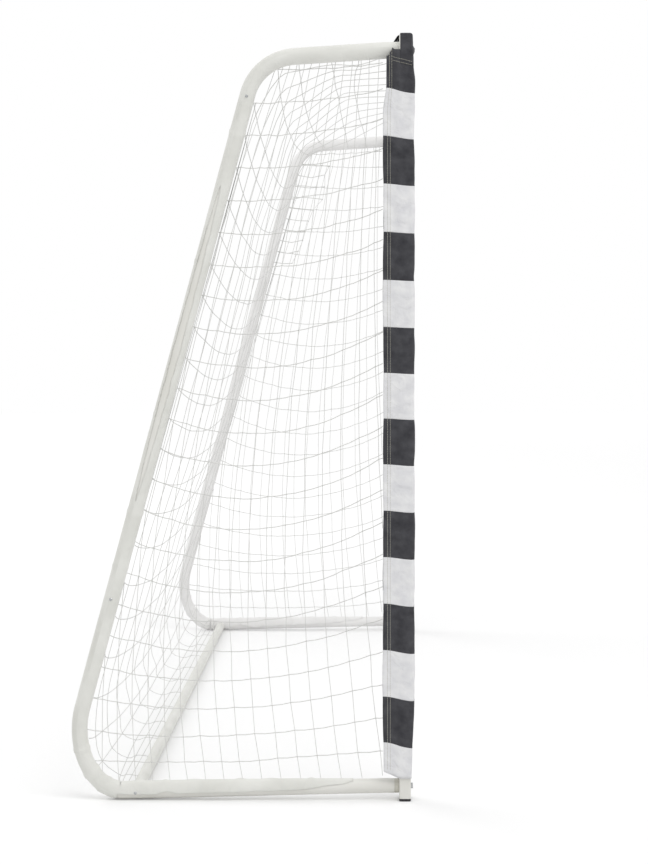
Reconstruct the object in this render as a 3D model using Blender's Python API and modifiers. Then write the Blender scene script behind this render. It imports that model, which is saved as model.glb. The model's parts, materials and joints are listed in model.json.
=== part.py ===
# Soccer goal: a front frame of rectangular steel tube, two D-shaped side frames of round tube,
# a ground bar, and the sewn goods that slide over them. Metres, Z up.
# X runs along the mouth, Y from the mouth to the rear, and the origin is on the floor in the middle.

import math

import bmesh
import bpy
from mathutils import Matrix, Vector

# Overall sizes, over the cloth
GOAL_WIDTH = 3.000
GOAL_HEIGHT = 2.000
GOAL_DEPTH = 0.885  # front face of the posts to the rear of the side tubes

# Front frame
POST_WIDTH = 0.060  # across the goal
CROSSBAR_HEIGHT = 0.060
FRAME_DEPTH = 0.030  # posts and crossbar, front to rear
FRAME_WALL = 0.0015
FRAME_CORNER = 0.004
POST_JOINT_HEIGHT = 0.980
JOINT_INSERT_LENGTH = 0.120
SPIGOT_LENGTH = 0.080
SPIGOT_WALL = 0.003  # also the wall of the foot plugs
FOOT_HEIGHT = 0.006
FOOT_PLUG_HEIGHT = 0.018

# Side frames
TUBE_DIAMETER = 0.038
TUBE_WALL = 0.0012
TOP_TUBE_DROP = 0.0395  # tube's axis below the top of the steel frame
TOP_TUBE_FALL = 0.022  # how far the top tube falls to the corner of the axes
TOP_CORNER_SETBACK = 0.401  # corner of the axes behind the front face
TOP_BEND_RADIUS = 0.135
BOTTOM_TUBE_HEIGHT = 0.035  # tube's axis above the floor, at the post
LOWER_BEND_REACH = 0.1165  # the lower bend is a quarter of an ellipse and a little more
LOWER_BEND_RISE = 0.1635
LOWER_JOINT_HEIGHT = 0.530
SWAGE_LENGTH = 0.055
SWAGE_TAPER = 0.002
PLUG_FLANGE = 0.012
PLUG_LENGTH = 0.022
PLUG_END_MARGIN = 0.004

# Ground bar
BAR_DIAMETER = 0.028
BAR_WALL = 0.0012
BAR_FROM_REAR = 0.167  # bar's axis in front of the rear of the side tubes
BAR_PLUG_LENGTH = 0.030

# Fasteners
BOLT_DIAMETER = 0.008
BOLT_HEAD_FLATS = 0.013
BOLT_HEAD_HEIGHT = 0.0053
SCREW_DIAMETER = 0.004
SCREW_HEAD_DIAMETER = 0.008
SCREW_HEAD_HEIGHT = 0.0024
SCREW_HEAD_RIM = 0.001
SCREW_HEAD_TOP = 0.0048
SCREW_LENGTH = 0.012
JOINT_SCREW_INSET = 0.006  # screw's axis past the joint of the tubes

# Cloth and net
CLOTH = 0.0012
SEAM_FLAP = 0.0416  # the flap where a sleeve's two edges are sewn together
CROSSBAR_FLAP_DROOP = math.radians(52)
POST_SLEEVE_BOTTOM = 0.059
FLAP_BOTTOM_RISE = 0.018
STRIPE = 0.1217
TOP_STRIPE_EDGE = 1.849  # height of the highest band's lower edge on the posts
HEM_COVER_CLOSED = math.radians(168)  # half of the way round the tube
HEM_COVER_OPEN = math.radians(104)
HEM_FRONT_CLEARANCE = 0.080  # the lower hem ends this far behind the post
NET_CORD = 0.003
SIDE_NET_COLUMN = 0.095  # widths and heights of the nets' gaps, drawn at about twice the real ones
SIDE_NET_ROW = 0.168
BACK_NET_COLUMN = 0.240
BACK_NET_ROW = 0.160
TURNED_NET_ROW = 0.115  # where the net turns over the top and under to the bar
SIDE_NET_SAG = 0.070
SIDE_SAG_LOWNESS = 1.7  # above 1 the sag is deepest below the middle
BACK_NET_SAG = 0.100
BACK_SAG_FULLNESS = 0.7  # below 1 the sag starts sooner from the net's two ends
BACK_SAG_FORWARD = 0.025  # how far the back net also hangs into the goal
FLOOR_NET_CLEARANCE = 0.004

FIT = 0.0003  # clearance between pieces that touch
ROUND_SIDES = 12
BEND_STEPS = 6

# Sizes that follow from those above
cover = CLOTH + FIT
frame_half_width = GOAL_WIDTH / 2 - cover
frame_top = GOAL_HEIGHT - cover
crossbar_bottom = frame_top - CROSSBAR_HEIGHT
crossbar_half_length = frame_half_width - POST_WIDTH
tube_radius = TUBE_DIAMETER / 2
bar_radius = BAR_DIAMETER / 2
side_plane = frame_half_width - POST_WIDTH / 2  # X of the side frames
flat_share = math.cos(math.pi / ROUND_SIDES)  # a many-sided ring's flats lie this much nearer its axis
hem_outer = tube_radius + cover / flat_share
bar_hem_outer = bar_radius + cover / flat_share
net_radius = NET_CORD / 2
top_tube_height = frame_top - TOP_TUBE_DROP
bore_radius = BOLT_DIAMETER / 2 + FIT
screw_bore = SCREW_DIAMETER / 2 + FIT
tube_start = FRAME_DEPTH + PLUG_FLANGE + 2 * FIT
stub_end = tube_start + PLUG_LENGTH + PLUG_END_MARGIN
bar_setback = GOAL_DEPTH - BAR_FROM_REAR
front_y = -GOAL_DEPTH / 2

WHITE = ("powder_coat_white", (0.79, 0.79, 0.75), 0.42, 0.0)
BLACK_PLASTIC = ("nylon_black", (0.02, 0.02, 0.022), 0.5, 0.0)
GREY_PLASTIC = ("nylon_grey", (0.56, 0.55, 0.48), 0.5, 0.0)
ZINC = ("zinc_plate", (0.55, 0.55, 0.56), 0.35, 1.0)
WHITE_CLOTH = ("polyester_white", (0.72, 0.72, 0.72), 0.85, 0.0)
BLACK_CLOTH = ("polyester_black", (0.065, 0.064, 0.07), 0.85, 0.0)
TWINE = ("net_twine", (0.70, 0.70, 0.69), 0.8, 0.0)


def clear_scene():
    for obj in list(bpy.data.objects):
        bpy.data.objects.remove(obj)


def new_collection(name):
    collection = bpy.data.collections.new(name)
    bpy.context.scene.collection.children.link(collection)
    return collection


def material(name, colour, roughness, metallic):
    found = bpy.data.materials.get(name)
    if found:
        return found
    made = bpy.data.materials.new(name)
    made.use_nodes = True
    shader = made.node_tree.nodes["Principled BSDF"]
    shader.inputs["Base Color"].default_value = (*colour, 1)
    shader.inputs["Roughness"].default_value = roughness
    shader.inputs["Metallic"].default_value = metallic
    return made


def add_object(name, mesh, finish, collection=None):
    obj = bpy.data.objects.new(name, mesh)
    (collection or goal).objects.link(obj)
    if finish:
        mesh.materials.append(material(*finish))
    return obj


def mesh_from(bm, name):
    mesh = bpy.data.meshes.new(name)
    bm.to_mesh(mesh)
    bm.free()
    return mesh


def world(x, setback, z):
    # setback is the distance behind the front face of the posts
    return Vector((x, front_y + setback, z))


def add_shell(obj, thickness):
    shell = obj.modifiers.new("wall", "SOLIDIFY")
    shell.thickness = thickness
    shell.offset = 0
    shell.use_even_offset = True
    return obj


def add_cut(obj, cutter, operation="DIFFERENCE"):
    cut = obj.modifiers.new(cutter.name, "BOOLEAN")
    cut.operation = operation
    cut.object = cutter
    cut.solver = "EXACT"
    return obj


def as_cutter(obj):
    obj.hide_render = True
    obj.display_type = "WIRE"
    return obj


def box_cutter(name, low, high):
    bm = bmesh.new()
    bmesh.ops.create_cube(bm, size=1)
    middle = (Vector(low) + Vector(high)) / 2
    size = Vector(high) - Vector(low)
    bmesh.ops.transform(bm, matrix=Matrix.Translation(middle) @ Matrix.Diagonal(size.to_4d()), verts=bm.verts)
    return as_cutter(add_object(name, mesh_from(bm, name), None, cutters))


def rod_mesh(name, radius, start, end, sides=ROUND_SIDES):
    axis = end - start
    bm = bmesh.new()
    bmesh.ops.create_cone(
        bm, cap_ends=True, segments=sides, radius1=radius, radius2=radius, depth=axis.length
    )
    turn = axis.to_track_quat("Z", "Y").to_matrix().to_4x4()
    bmesh.ops.transform(bm, matrix=Matrix.Translation((start + end) / 2) @ turn, verts=bm.verts)
    return mesh_from(bm, name)


def rod_cutter(name, radius, start, end, sides=ROUND_SIDES):
    return as_cutter(add_object(name, rod_mesh(name, radius, start, end, sides), None, cutters))


def rounded_loop(corners, radius, steps=2):
    # the corners of a flat outline, each replaced by an arc
    loop = []
    for i, corner in enumerate(corners):
        before = (corners[i - 1] - corner).normalized()
        after = (corners[(i + 1) % len(corners)] - corner).normalized()
        half = before.angle(after) / 2
        reach = radius / math.tan(half)
        centre = corner + (before + after).normalized() * (radius / math.sin(half))
        first = corner + before * reach - centre
        last = corner + after * reach - centre
        for step in range(steps + 1):
            share = step / steps
            spoke = first.lerp(last, share).normalized() * radius
            loop.append(centre + spoke)
    return loop


def rectangle(width, depth):
    return [
        Vector((-width / 2, -depth / 2)),
        Vector((width / 2, -depth / 2)),
        Vector((width / 2, depth / 2)),
        Vector((-width / 2, depth / 2)),
    ]


def extruded_loop(name, loop, stations, place, finish, close_ends=False):
    # an open-ended skin: the outline at each station, joined along its length
    bm = bmesh.new()
    ring = [bm.verts.new(place(point, stations[0])) for point in loop]
    edges = [bm.edges.new((ring[i - 1], ring[i])) for i in range(len(ring))]
    if close_ends:
        bm.faces.new(ring)
    for station in stations[1:]:
        made = bmesh.ops.extrude_edge_only(bm, edges=edges)["geom"]
        edges = [item for item in made if isinstance(item, bmesh.types.BMEdge)]
        new_ring = [item for item in made if isinstance(item, bmesh.types.BMVert)]
        for vert, point in zip(new_ring, loop):
            vert.co = place(point, station)
    if close_ends:
        bm.faces.new(new_ring)
    bmesh.ops.recalc_face_normals(bm, faces=bm.faces)
    return add_object(name, mesh_from(bm, name), finish)


def rectangular_tube(name, width, depth, wall, corner, stations, place, finish=WHITE):
    loop = rounded_loop(rectangle(width - wall, depth - wall), corner - wall / 2)
    return add_shell(extruded_loop(name, loop, stations, place, finish), wall)


def upright(side):
    def place(point, height):
        return world(side * (side_plane + point.x), FRAME_DEPTH / 2 + point.y, height)

    return place


def crosswise(point, x):
    return world(x, FRAME_DEPTH / 2 + point.y, frame_top - CROSSBAR_HEIGHT / 2 + point.x)


# Path of a side tube's axis, as (setback, height)


def tangent_angle(px, pz, way):
    # angle on the lower bend's ellipse where a line from a point outside touches it
    pz_round = pz * LOWER_BEND_REACH / LOWER_BEND_RISE
    reach = math.hypot(px, pz_round)
    return math.atan2(pz_round, px) + way * math.acos(LOWER_BEND_REACH / reach)


def lower_bend_point(angle):
    return Vector((
        bend_centre.x + LOWER_BEND_REACH * math.cos(angle),
        bend_centre.y + LOWER_BEND_RISE * math.sin(angle),
    ))


def top_bend(steps):
    # arc between the top tube and the rear tube
    turn = incoming.angle(outgoing)
    reach = TOP_BEND_RADIUS * math.tan(turn / 2)
    start = corner - incoming * reach
    centre = start + Vector((incoming.y, -incoming.x)) * TOP_BEND_RADIUS
    spoke = start - centre
    arc = []
    for step in range(steps + 1):
        angle = -turn * step / steps
        arc.append(centre + Matrix.Rotation(angle, 2) @ spoke)
    return arc


bend_centre = Vector((GOAL_DEPTH - tube_radius - LOWER_BEND_REACH, tube_radius + LOWER_BEND_RISE))
corner = Vector((TOP_CORNER_SETBACK, top_tube_height - TOP_TUBE_FALL))
stub_top = Vector((stub_end, top_tube_height))
stub_bottom = Vector((stub_end, BOTTOM_TUBE_HEIGHT))
rear_angle = tangent_angle(*(corner - bend_centre), -1)
floor_angle = tangent_angle(*(stub_bottom - bend_centre), 1)
rear_end = lower_bend_point(rear_angle)
incoming = (corner - stub_top).normalized()
outgoing = (rear_end - corner).normalized()
bend_arc = top_bend(BEND_STEPS)
lower_arc = [
    lower_bend_point(rear_angle + (floor_angle - rear_angle) * step / (BEND_STEPS + 2))
    for step in range(BEND_STEPS + 3)
]
upper_joint = bend_arc[-1] + outgoing * SWAGE_TAPER
lower_joint = rear_end - outgoing * ((LOWER_JOINT_HEIGHT - rear_end.y) / -outgoing.y)
bottom_run = (stub_bottom - lower_arc[-1]).normalized()
bar_height = lower_arc[-1].y + bottom_run.y * (lower_arc[-1].x - bar_setback) / -bottom_run.x
side_path = [
    Vector((tube_start, top_tube_height)),
    stub_top,
    *bend_arc,
    *lower_arc,
    stub_bottom,
    Vector((tube_start, BOTTOM_TUBE_HEIGHT)),
]


def round_tube(name, points, radius, wall, finish=WHITE, scales=None):
    # a curve with a round bevel, made a mesh and given its wall
    curve = bpy.data.curves.new(name, "CURVE")
    curve.dimensions = "3D"
    curve.bevel_depth = radius - wall / 2 / flat_share
    curve.bevel_resolution = ROUND_SIDES // 2 - 2
    curve.use_fill_caps = False
    spline = curve.splines.new("POLY")
    spline.points.add(len(points) - 1)
    for i, point in enumerate(points):
        spline.points[i].co = (*point, 1)
        spline.points[i].radius = scales[i] if scales else 1
    source = bpy.data.objects.new(name + "_curve", curve)
    goal.objects.link(source)
    bpy.context.view_layer.update()
    mesh = bpy.data.meshes.new_from_object(source.evaluated_get(bpy.context.evaluated_depsgraph_get()))
    bpy.data.objects.remove(source)
    bm = bmesh.new()
    bm.from_mesh(mesh)
    bmesh.ops.remove_doubles(bm, verts=bm.verts, dist=1e-5)
    bm.to_mesh(mesh)
    bm.free()
    mesh.name = name
    mesh.shade_smooth()
    return add_shell(add_object(name, mesh, finish), wall)


def swaged(points, radius, wall):
    # the axis run on past the end of a tube, and each point's radius scale, for a neck that fits inside
    end = points[-1]
    way = (end - points[-2]).normalized()
    neck = (radius - (wall + FIT + wall / 2) / flat_share) / (radius - wall / 2 / flat_share)
    shoulder = end - way * SWAGE_TAPER
    kept = points[:-1]
    if (shoulder - kept[-1]).length < FIT:
        kept = kept[:-1]
    return [*kept, shoulder, end, end + way * SWAGE_LENGTH], [1.0] * (len(kept) + 1) + [neck, neck]


def side_tube(name, side, path, swage):
    points = [world(side * side_plane, p.x, p.y) for p in path]
    scales = None
    if swage:
        points, scales = swaged(points, tube_radius, TUBE_WALL)
    return round_tube(name, points, tube_radius, TUBE_WALL, scales=scales)


def end_plug(name, side, height):
    # turned plug with a flange, bored for the bolt
    inner = tube_radius - (TUBE_WALL + FIT) / flat_share
    start = FRAME_DEPTH + FIT
    profile = [
        (bore_radius, start),
        (tube_radius, start),
        (tube_radius, start + PLUG_FLANGE),
        (inner, start + PLUG_FLANGE),
        (inner, start + PLUG_FLANGE + PLUG_LENGTH),
        (bore_radius, start + PLUG_FLANGE + PLUG_LENGTH),
    ]
    bm = bmesh.new()
    ring = [bm.verts.new((radius, along, 0)) for radius, along in profile]
    for i in range(len(ring)):
        bm.edges.new((ring[i - 1], ring[i]))
    bmesh.ops.spin(
        bm,
        geom=bm.verts[:] + bm.edges[:],
        cent=(0, 0, 0),
        axis=(0, 1, 0),
        angle=2 * math.pi,
        steps=ROUND_SIDES,
    )
    bmesh.ops.remove_doubles(bm, verts=bm.verts, dist=1e-5)
    bmesh.ops.recalc_face_normals(bm, faces=bm.faces)
    bmesh.ops.translate(bm, verts=bm.verts, vec=world(side * side_plane, 0, height))
    return add_object(name, mesh_from(bm, name), GREY_PLASTIC)


def hexagon_bolt(name, side, height):
    # the head bears on the front face, and the shank runs into the plug
    shank_end = FRAME_DEPTH + PLUG_FLANGE + PLUG_LENGTH - PLUG_END_MARGIN
    bm = bmesh.new()
    bmesh.ops.create_cone(
        bm,
        cap_ends=True,
        segments=6,
        radius1=BOLT_HEAD_FLATS / math.sqrt(3),
        radius2=BOLT_HEAD_FLATS / math.sqrt(3),
        depth=BOLT_HEAD_HEIGHT,
    )
    back = max(bm.faces, key=lambda face: face.calc_center_median().z)
    bmesh.ops.inset_individual(bm, faces=[back], thickness=(BOLT_HEAD_FLATS - BOLT_DIAMETER) / 2)
    bmesh.ops.subdivide_edges(bm, edges=list(back.edges), cuts=1)
    for vert in back.verts:
        vert.co.xy = vert.co.xy.normalized() * BOLT_DIAMETER / 2
    raised = bmesh.ops.extrude_face_region(bm, geom=[back])["geom"]
    bmesh.ops.delete(bm, geom=[back], context="FACES_ONLY")
    raised_verts = [item for item in raised if isinstance(item, bmesh.types.BMVert)]
    bmesh.ops.translate(bm, verts=raised_verts, vec=(0, 0, shank_end + FIT))
    bmesh.ops.recalc_face_normals(bm, faces=bm.faces)
    turn = Matrix.Rotation(math.radians(-90), 4, "X")
    place = Matrix.Translation(world(side * side_plane, -FIT - BOLT_HEAD_HEIGHT / 2, height))
    bmesh.ops.transform(bm, matrix=place @ turn, verts=bm.verts)
    return add_object(name, mesh_from(bm, name), ZINC)


def pan_screw(name, side, seat, length):
    # seat is where the head bears, and the shank runs inwards along X
    head = SCREW_HEAD_DIAMETER / 2
    shank = SCREW_DIAMETER / 2
    profile = [
        (0, SCREW_HEAD_HEIGHT),
        (SCREW_HEAD_TOP / 2, SCREW_HEAD_HEIGHT),
        (head, SCREW_HEAD_RIM),
        (head, 0),
        (shank, 0),
        (shank, -length),
        (0, -length),
    ]
    bm = bmesh.new()
    line = [bm.verts.new((radius, 0, along)) for radius, along in profile]
    for first, second in zip(line, line[1:]):
        bm.edges.new((first, second))
    bmesh.ops.spin(
        bm,
        geom=bm.verts[:] + bm.edges[:],
        cent=(0, 0, 0),
        axis=(0, 0, 1),
        angle=2 * math.pi,
        steps=ROUND_SIDES,
    )
    bmesh.ops.remove_doubles(bm, verts=bm.verts, dist=1e-5)
    bmesh.ops.recalc_face_normals(bm, faces=bm.faces)
    turn = Matrix.Rotation(math.radians(90 * side), 4, "Y")
    bmesh.ops.transform(bm, matrix=Matrix.Translation(seat) @ turn, verts=bm.verts)
    return add_object(name, mesh_from(bm, name), ZINC)


def rounded_block(name, width, depth, low, high, corner_radius, side):
    loop = rounded_loop(rectangle(width, depth), corner_radius)
    return extruded_loop(name, loop, [low, high], upright(side), None, close_ends=True)


# Front frame


def make_foot_cap(hand, side):
    name = f"{hand}_foot_cap"
    cap = rounded_block(name, POST_WIDTH, FRAME_DEPTH, 0, FOOT_HEIGHT, FRAME_CORNER, side)
    cap.data.materials.append(material(*BLACK_PLASTIC))
    inside = 2 * (FRAME_WALL + FIT)
    plug = rounded_block(
        name + "_plug",
        POST_WIDTH - inside,
        FRAME_DEPTH - inside,
        FOOT_HEIGHT / 2,
        FOOT_HEIGHT + FOOT_PLUG_HEIGHT,
        FRAME_CORNER - FRAME_WALL,
        side,
    )
    hollow = rounded_block(
        name + "_hollow",
        POST_WIDTH - inside - 2 * SPIGOT_WALL,
        FRAME_DEPTH - inside - 2 * SPIGOT_WALL,
        FOOT_HEIGHT,
        FOOT_HEIGHT + 2 * FOOT_PLUG_HEIGHT,
        FRAME_WALL,
        side,
    )
    for tool, operation in ((plug, "UNION"), (hollow, "DIFFERENCE")):
        goal.objects.unlink(tool)
        cutters.objects.link(tool)
        add_cut(cap, as_cutter(tool), operation)
    return cap


def bolt_hole(name, side, height):
    return rod_cutter(
        name,
        bore_radius,
        world(side * side_plane, -FRAME_DEPTH, height),
        world(side * side_plane, 2 * FRAME_DEPTH, height),
        sides=16,
    )


def make_post(hand, side):
    spans = {
        "lower": (FOOT_HEIGHT + FIT, POST_JOINT_HEIGHT),
        "upper": (POST_JOINT_HEIGHT + FIT, crossbar_bottom - FIT),
    }
    for level, (low, high) in spans.items():
        name = f"{hand}_post_{level}"
        post = rectangular_tube(
            name, POST_WIDTH, FRAME_DEPTH, FRAME_WALL, FRAME_CORNER, [low, high], upright(side)
        )
        if level == "lower":
            add_cut(post, bolt_hole(f"{hand}_lower_bolt_hole", side, BOTTOM_TUBE_HEIGHT))
    inside = 2 * (FRAME_WALL + FIT)
    half = JOINT_INSERT_LENGTH / 2
    rectangular_tube(
        f"{hand}_post_joint",
        POST_WIDTH - inside,
        FRAME_DEPTH - inside,
        FRAME_WALL,
        FRAME_CORNER - FRAME_WALL,
        [POST_JOINT_HEIGHT - half, POST_JOINT_HEIGHT + half],
        upright(side),
    )


def make_crossbar():
    section = 2 * crossbar_half_length / 3
    inside = 2 * (FRAME_WALL + FIT)
    half = JOINT_INSERT_LENGTH / 2
    for i, part in enumerate(("left", "middle", "right")):
        low = -crossbar_half_length + i * section + FIT
        rectangular_tube(
            f"crossbar_{part}",
            CROSSBAR_HEIGHT,
            FRAME_DEPTH,
            FRAME_WALL,
            FRAME_CORNER,
            [low, low + section - 2 * FIT],
            crosswise,
        )
    for part, middle in (("left", -section / 2), ("right", section / 2)):
        rectangular_tube(
            f"crossbar_joint_{part}",
            CROSSBAR_HEIGHT - inside,
            FRAME_DEPTH - inside,
            FRAME_WALL,
            FRAME_CORNER - FRAME_WALL,
            [middle - half, middle + half],
            crosswise,
        )


def make_corner(hand, side):
    # a square corner with a hollow spigot into the post and one into the crossbar
    name = f"{hand}_corner"
    block = rounded_block(
        name, POST_WIDTH, FRAME_DEPTH, crossbar_bottom, frame_top, FRAME_CORNER, side
    )
    block.data.materials.append(material(*WHITE))
    bar_outline = rounded_loop(rectangle(CROSSBAR_HEIGHT, FRAME_DEPTH), FRAME_CORNER)
    ends = [side * (crossbar_half_length - FRAME_CORNER), side * (frame_half_width + FRAME_CORNER)]
    bar_end = extruded_loop(name + "_bar_end", bar_outline, ends, crosswise, None, close_ends=True)
    goal.objects.unlink(bar_end)
    cutters.objects.link(bar_end)
    add_cut(block, as_cutter(bar_end), "INTERSECT")
    inside = 2 * (FRAME_WALL + FIT)
    depth = FRAME_DEPTH - inside
    sizes = (
        ("spigot", 0, "UNION"),
        ("hollow", 2 * SPIGOT_WALL, "DIFFERENCE"),
    )
    for kind, less, operation in sizes:
        run = SPIGOT_LENGTH * (2 if less else 1)
        rounding = FRAME_CORNER - FRAME_WALL
        down_loop = rounded_loop(rectangle(POST_WIDTH - inside - less, depth - less), rounding)
        down = extruded_loop(
            f"{name}_{kind}_down",
            down_loop,
            [crossbar_bottom - run, crossbar_bottom + FRAME_CORNER],
            upright(side),
            None,
            close_ends=True,
        )
        across_loop = rounded_loop(rectangle(CROSSBAR_HEIGHT - inside - less, depth - less), rounding)
        across = extruded_loop(
            f"{name}_{kind}_across",
            across_loop,
            [side * (crossbar_half_length + FRAME_CORNER), side * (crossbar_half_length - run)],
            crosswise,
            None,
            close_ends=True,
        )
        for tool in (down, across):
            goal.objects.unlink(tool)
            cutters.objects.link(tool)
            add_cut(block, as_cutter(tool), operation)
    return add_cut(block, bolt_hole(f"{hand}_upper_bolt_hole", side, top_tube_height))


# Side frames and ground bar


def screw_hole(name, side, point):
    # through one side of the tube and of the hem over it
    middle = world(side * side_plane, point.x, point.y)
    return rod_cutter(name, screw_bore, middle, middle + Vector((side * 2 * tube_radius, 0, 0)))


def joint_screw_point(joint):
    return joint + outgoing * JOINT_SCREW_INSET


def make_side_frame(hand, side):
    gap = outgoing * FIT
    top = side_tube(f"{hand}_top_tube", side, [*side_path[:2], *bend_arc, upper_joint], True)
    rear = side_tube(f"{hand}_rear_tube", side, [upper_joint + gap, lower_joint], True)
    bottom = side_tube(
        f"{hand}_bottom_tube", side, [lower_joint + gap, *lower_arc, *side_path[-2:]], False
    )
    holes = []
    for level, joint, outer, neck in (("upper", upper_joint, rear, top), ("lower", lower_joint, bottom, rear)):
        point = joint_screw_point(joint)
        hole = screw_hole(f"{hand}_{level}_screw_hole", side, point)
        add_cut(outer, hole)
        add_cut(neck, hole)
        holes.append(hole)
        seat = world(side * (side_plane + hem_outer + FIT), point.x, point.y)
        pan_screw(f"{hand}_{level}_joint_screw", side, seat, SCREW_LENGTH)
    outside = side * (side_plane + tube_radius + 2 * TUBE_WALL + CLOTH)
    bar_hole = rod_cutter(
        f"{hand}_bar_screw_hole",
        screw_bore,
        world(outside, bar_setback, bar_height),
        world(side * (side_plane - 2 * tube_radius), bar_setback, bar_height),
    )
    add_cut(bottom, bar_hole)
    holes.append(bar_hole)
    bar_notch = rod_cutter(
        f"{hand}_bar_notch",
        bar_radius / flat_share + FIT,
        world(side * side_plane, bar_setback, bar_height),
        world(side * (side_plane - 2 * tube_radius), bar_setback, bar_height),
    )
    holes.append(bar_notch)
    for level, height in (("top", top_tube_height), ("bottom", BOTTOM_TUBE_HEIGHT)):
        end_plug(f"{hand}_{level}_plug", side, height)
        hexagon_bolt(f"{hand}_{level}_bolt", side, height)
    return holes


def make_ground_bar():
    for hand, side in sides:
        end = side * side_plane
        middle = side * FIT / 2
        points = [world(end, bar_setback, bar_height), world(middle, bar_setback, bar_height)]
        scales = None
        if hand == "left":
            points, scales = swaged(points, bar_radius, BAR_WALL)
        bar = round_tube(f"ground_bar_{hand}", points, bar_radius, BAR_WALL, scales=scales)
        along = world(end, bar_setback, bar_height)
        run = Vector((0, bottom_run.x, bottom_run.y)) * TUBE_DIAMETER
        saddle = rod_cutter(f"{hand}_saddle", tube_radius + FIT, along - run, along + run, sides=24)
        add_cut(bar, saddle)
        plug_end = side * (side_plane - tube_radius - 2 * BAR_WALL)
        plug = add_object(
            f"ground_bar_plug_{hand}",
            rod_mesh(
                "plug",
                bar_radius - (BAR_WALL + FIT) / flat_share,
                world(plug_end - side * BAR_PLUG_LENGTH, bar_setback, bar_height),
                world(plug_end, bar_setback, bar_height),
            ),
            GREY_PLASTIC,
        )
        add_cut(plug, bpy.data.objects[f"{hand}_bar_screw_hole"])
        seat = world(side * (side_plane + hem_outer + FIT), bar_setback, bar_height)
        screw_reach = hem_outer + tube_radius + BAR_PLUG_LENGTH / 2
        pan_screw(f"ground_bar_screw_{hand}", side, seat, screw_reach)


# Cloth


def sleeve_loop(width, droop):
    # across (0 at the outer face, width inwards as negative) and setback, with the sewn flap at the rear
    middle = FIT + CLOTH / 2
    layers = CLOTH + FIT
    way = Vector((-math.sin(droop), math.cos(droop)))
    inward = Vector((-math.cos(droop), -math.sin(droop)))
    rear = FRAME_DEPTH + middle
    flap_root = Vector((middle, rear))
    flap_tip = flap_root + way * SEAM_FLAP
    body = [
        Vector((middle, -middle)),
        Vector((-width - middle, -middle)),
        Vector((-width - middle, rear)),
    ]
    front = rounded_loop([*body, flap_root], FRAME_CORNER)
    arcs = len(front) // 4
    under_root = Vector((middle - layers / math.cos(droop), rear))
    return [*front[: 2 * arcs], body[2], under_root, flap_tip + inward * layers, flap_tip, flap_root]


def widened(loop, amount):
    # every side of a flat outline moved outwards by the amount, its corners kept sharp
    moved = []
    for i, point in enumerate(loop):
        before = (point - loop[i - 1]).normalized()
        after = (loop[(i + 1) % len(loop)] - point).normalized()
        normal = Vector((before.y + after.y, -before.x - after.x)).normalized()
        straight = normal.dot(Vector((before.y, -before.x)))
        moved.append(point + normal * (amount / straight))
    return moved


def stripe_stations(low, high, black_middle):
    # the two ends, and every band's edge between them
    count = math.ceil((high - low) / STRIPE)
    edges = [black_middle + STRIPE * (i + 0.5) for i in range(-count, count)]
    return [low, *[edge for edge in edges if low + CLOTH < edge < high - CLOTH], high]


def paint_stripes(obj, axis, black_middle):
    obj.data.materials.append(material(*WHITE_CLOTH))
    for face in obj.data.polygons:
        band = math.floor(abs(face.center[axis] - black_middle) / STRIPE + 0.5)
        face.material_index = band % 2


def make_post_sleeve(hand, side):
    loop = sleeve_loop(POST_WIDTH, 0)
    top = crossbar_bottom - cover - FIT
    black_middle = TOP_STRIPE_EDGE + STRIPE / 2
    stations = stripe_stations(POST_SLEEVE_BOTTOM, top, black_middle)

    def place(point, height):
        back = max(0, point.y - FRAME_DEPTH - CLOTH)
        if height == POST_SLEEVE_BOTTOM:
            height += FLAP_BOTTOM_RISE * back / SEAM_FLAP
        return world(side * (frame_half_width + point.x), point.y, height)

    sleeve = extruded_loop(f"{hand}_post_sleeve", loop, stations, place, BLACK_CLOTH)
    paint_stripes(sleeve, 2, black_middle)
    return add_shell(sleeve, CLOTH)


def make_crossbar_sleeve():
    loop = sleeve_loop(CROSSBAR_HEIGHT, CROSSBAR_FLAP_DROOP)
    end = frame_half_width + FIT
    stations = stripe_stations(-end - CLOTH, end + CLOTH, 0)

    def place(point, x):
        return world(x, point.y, frame_top + point.x)

    outside = widened(loop, -CLOTH / 2)
    inside = widened(loop, CLOTH / 2)
    sleeve = extruded_loop("crossbar_sleeve", outside, stations, place, BLACK_CLOTH, close_ends=True)
    paint_stripes(sleeve, 0, 0)
    hollow = extruded_loop("crossbar_sleeve_hollow", inside, [-end, end], place, None, close_ends=True)
    goal.objects.unlink(hollow)
    cutters.objects.link(hollow)
    add_cut(sleeve, as_cutter(hollow))
    for hand, side in sides:
        inner = side_plane - hem_outer - FIT
        outer = GOAL_WIDTH / 2 + CLOTH
        rear = box_cutter(
            f"{hand}_tube_opening",
            world(min(side * inner, side * outer), FRAME_DEPTH - CLOTH, crossbar_bottom - SEAM_FLAP),
            world(max(side * inner, side * outer), 3 * FRAME_DEPTH, GOAL_HEIGHT + CLOTH),
        )
        inner = crossbar_half_length - FIT
        under = box_cutter(
            f"{hand}_post_opening",
            world(min(side * inner, side * outer), -FRAME_DEPTH, crossbar_bottom - FRAME_DEPTH),
            world(max(side * inner, side * outer), 2 * FRAME_DEPTH, crossbar_bottom + CLOTH),
        )
        add_cut(sleeve, rear)
        add_cut(sleeve, under)
        add_blister(sleeve, side)


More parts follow.
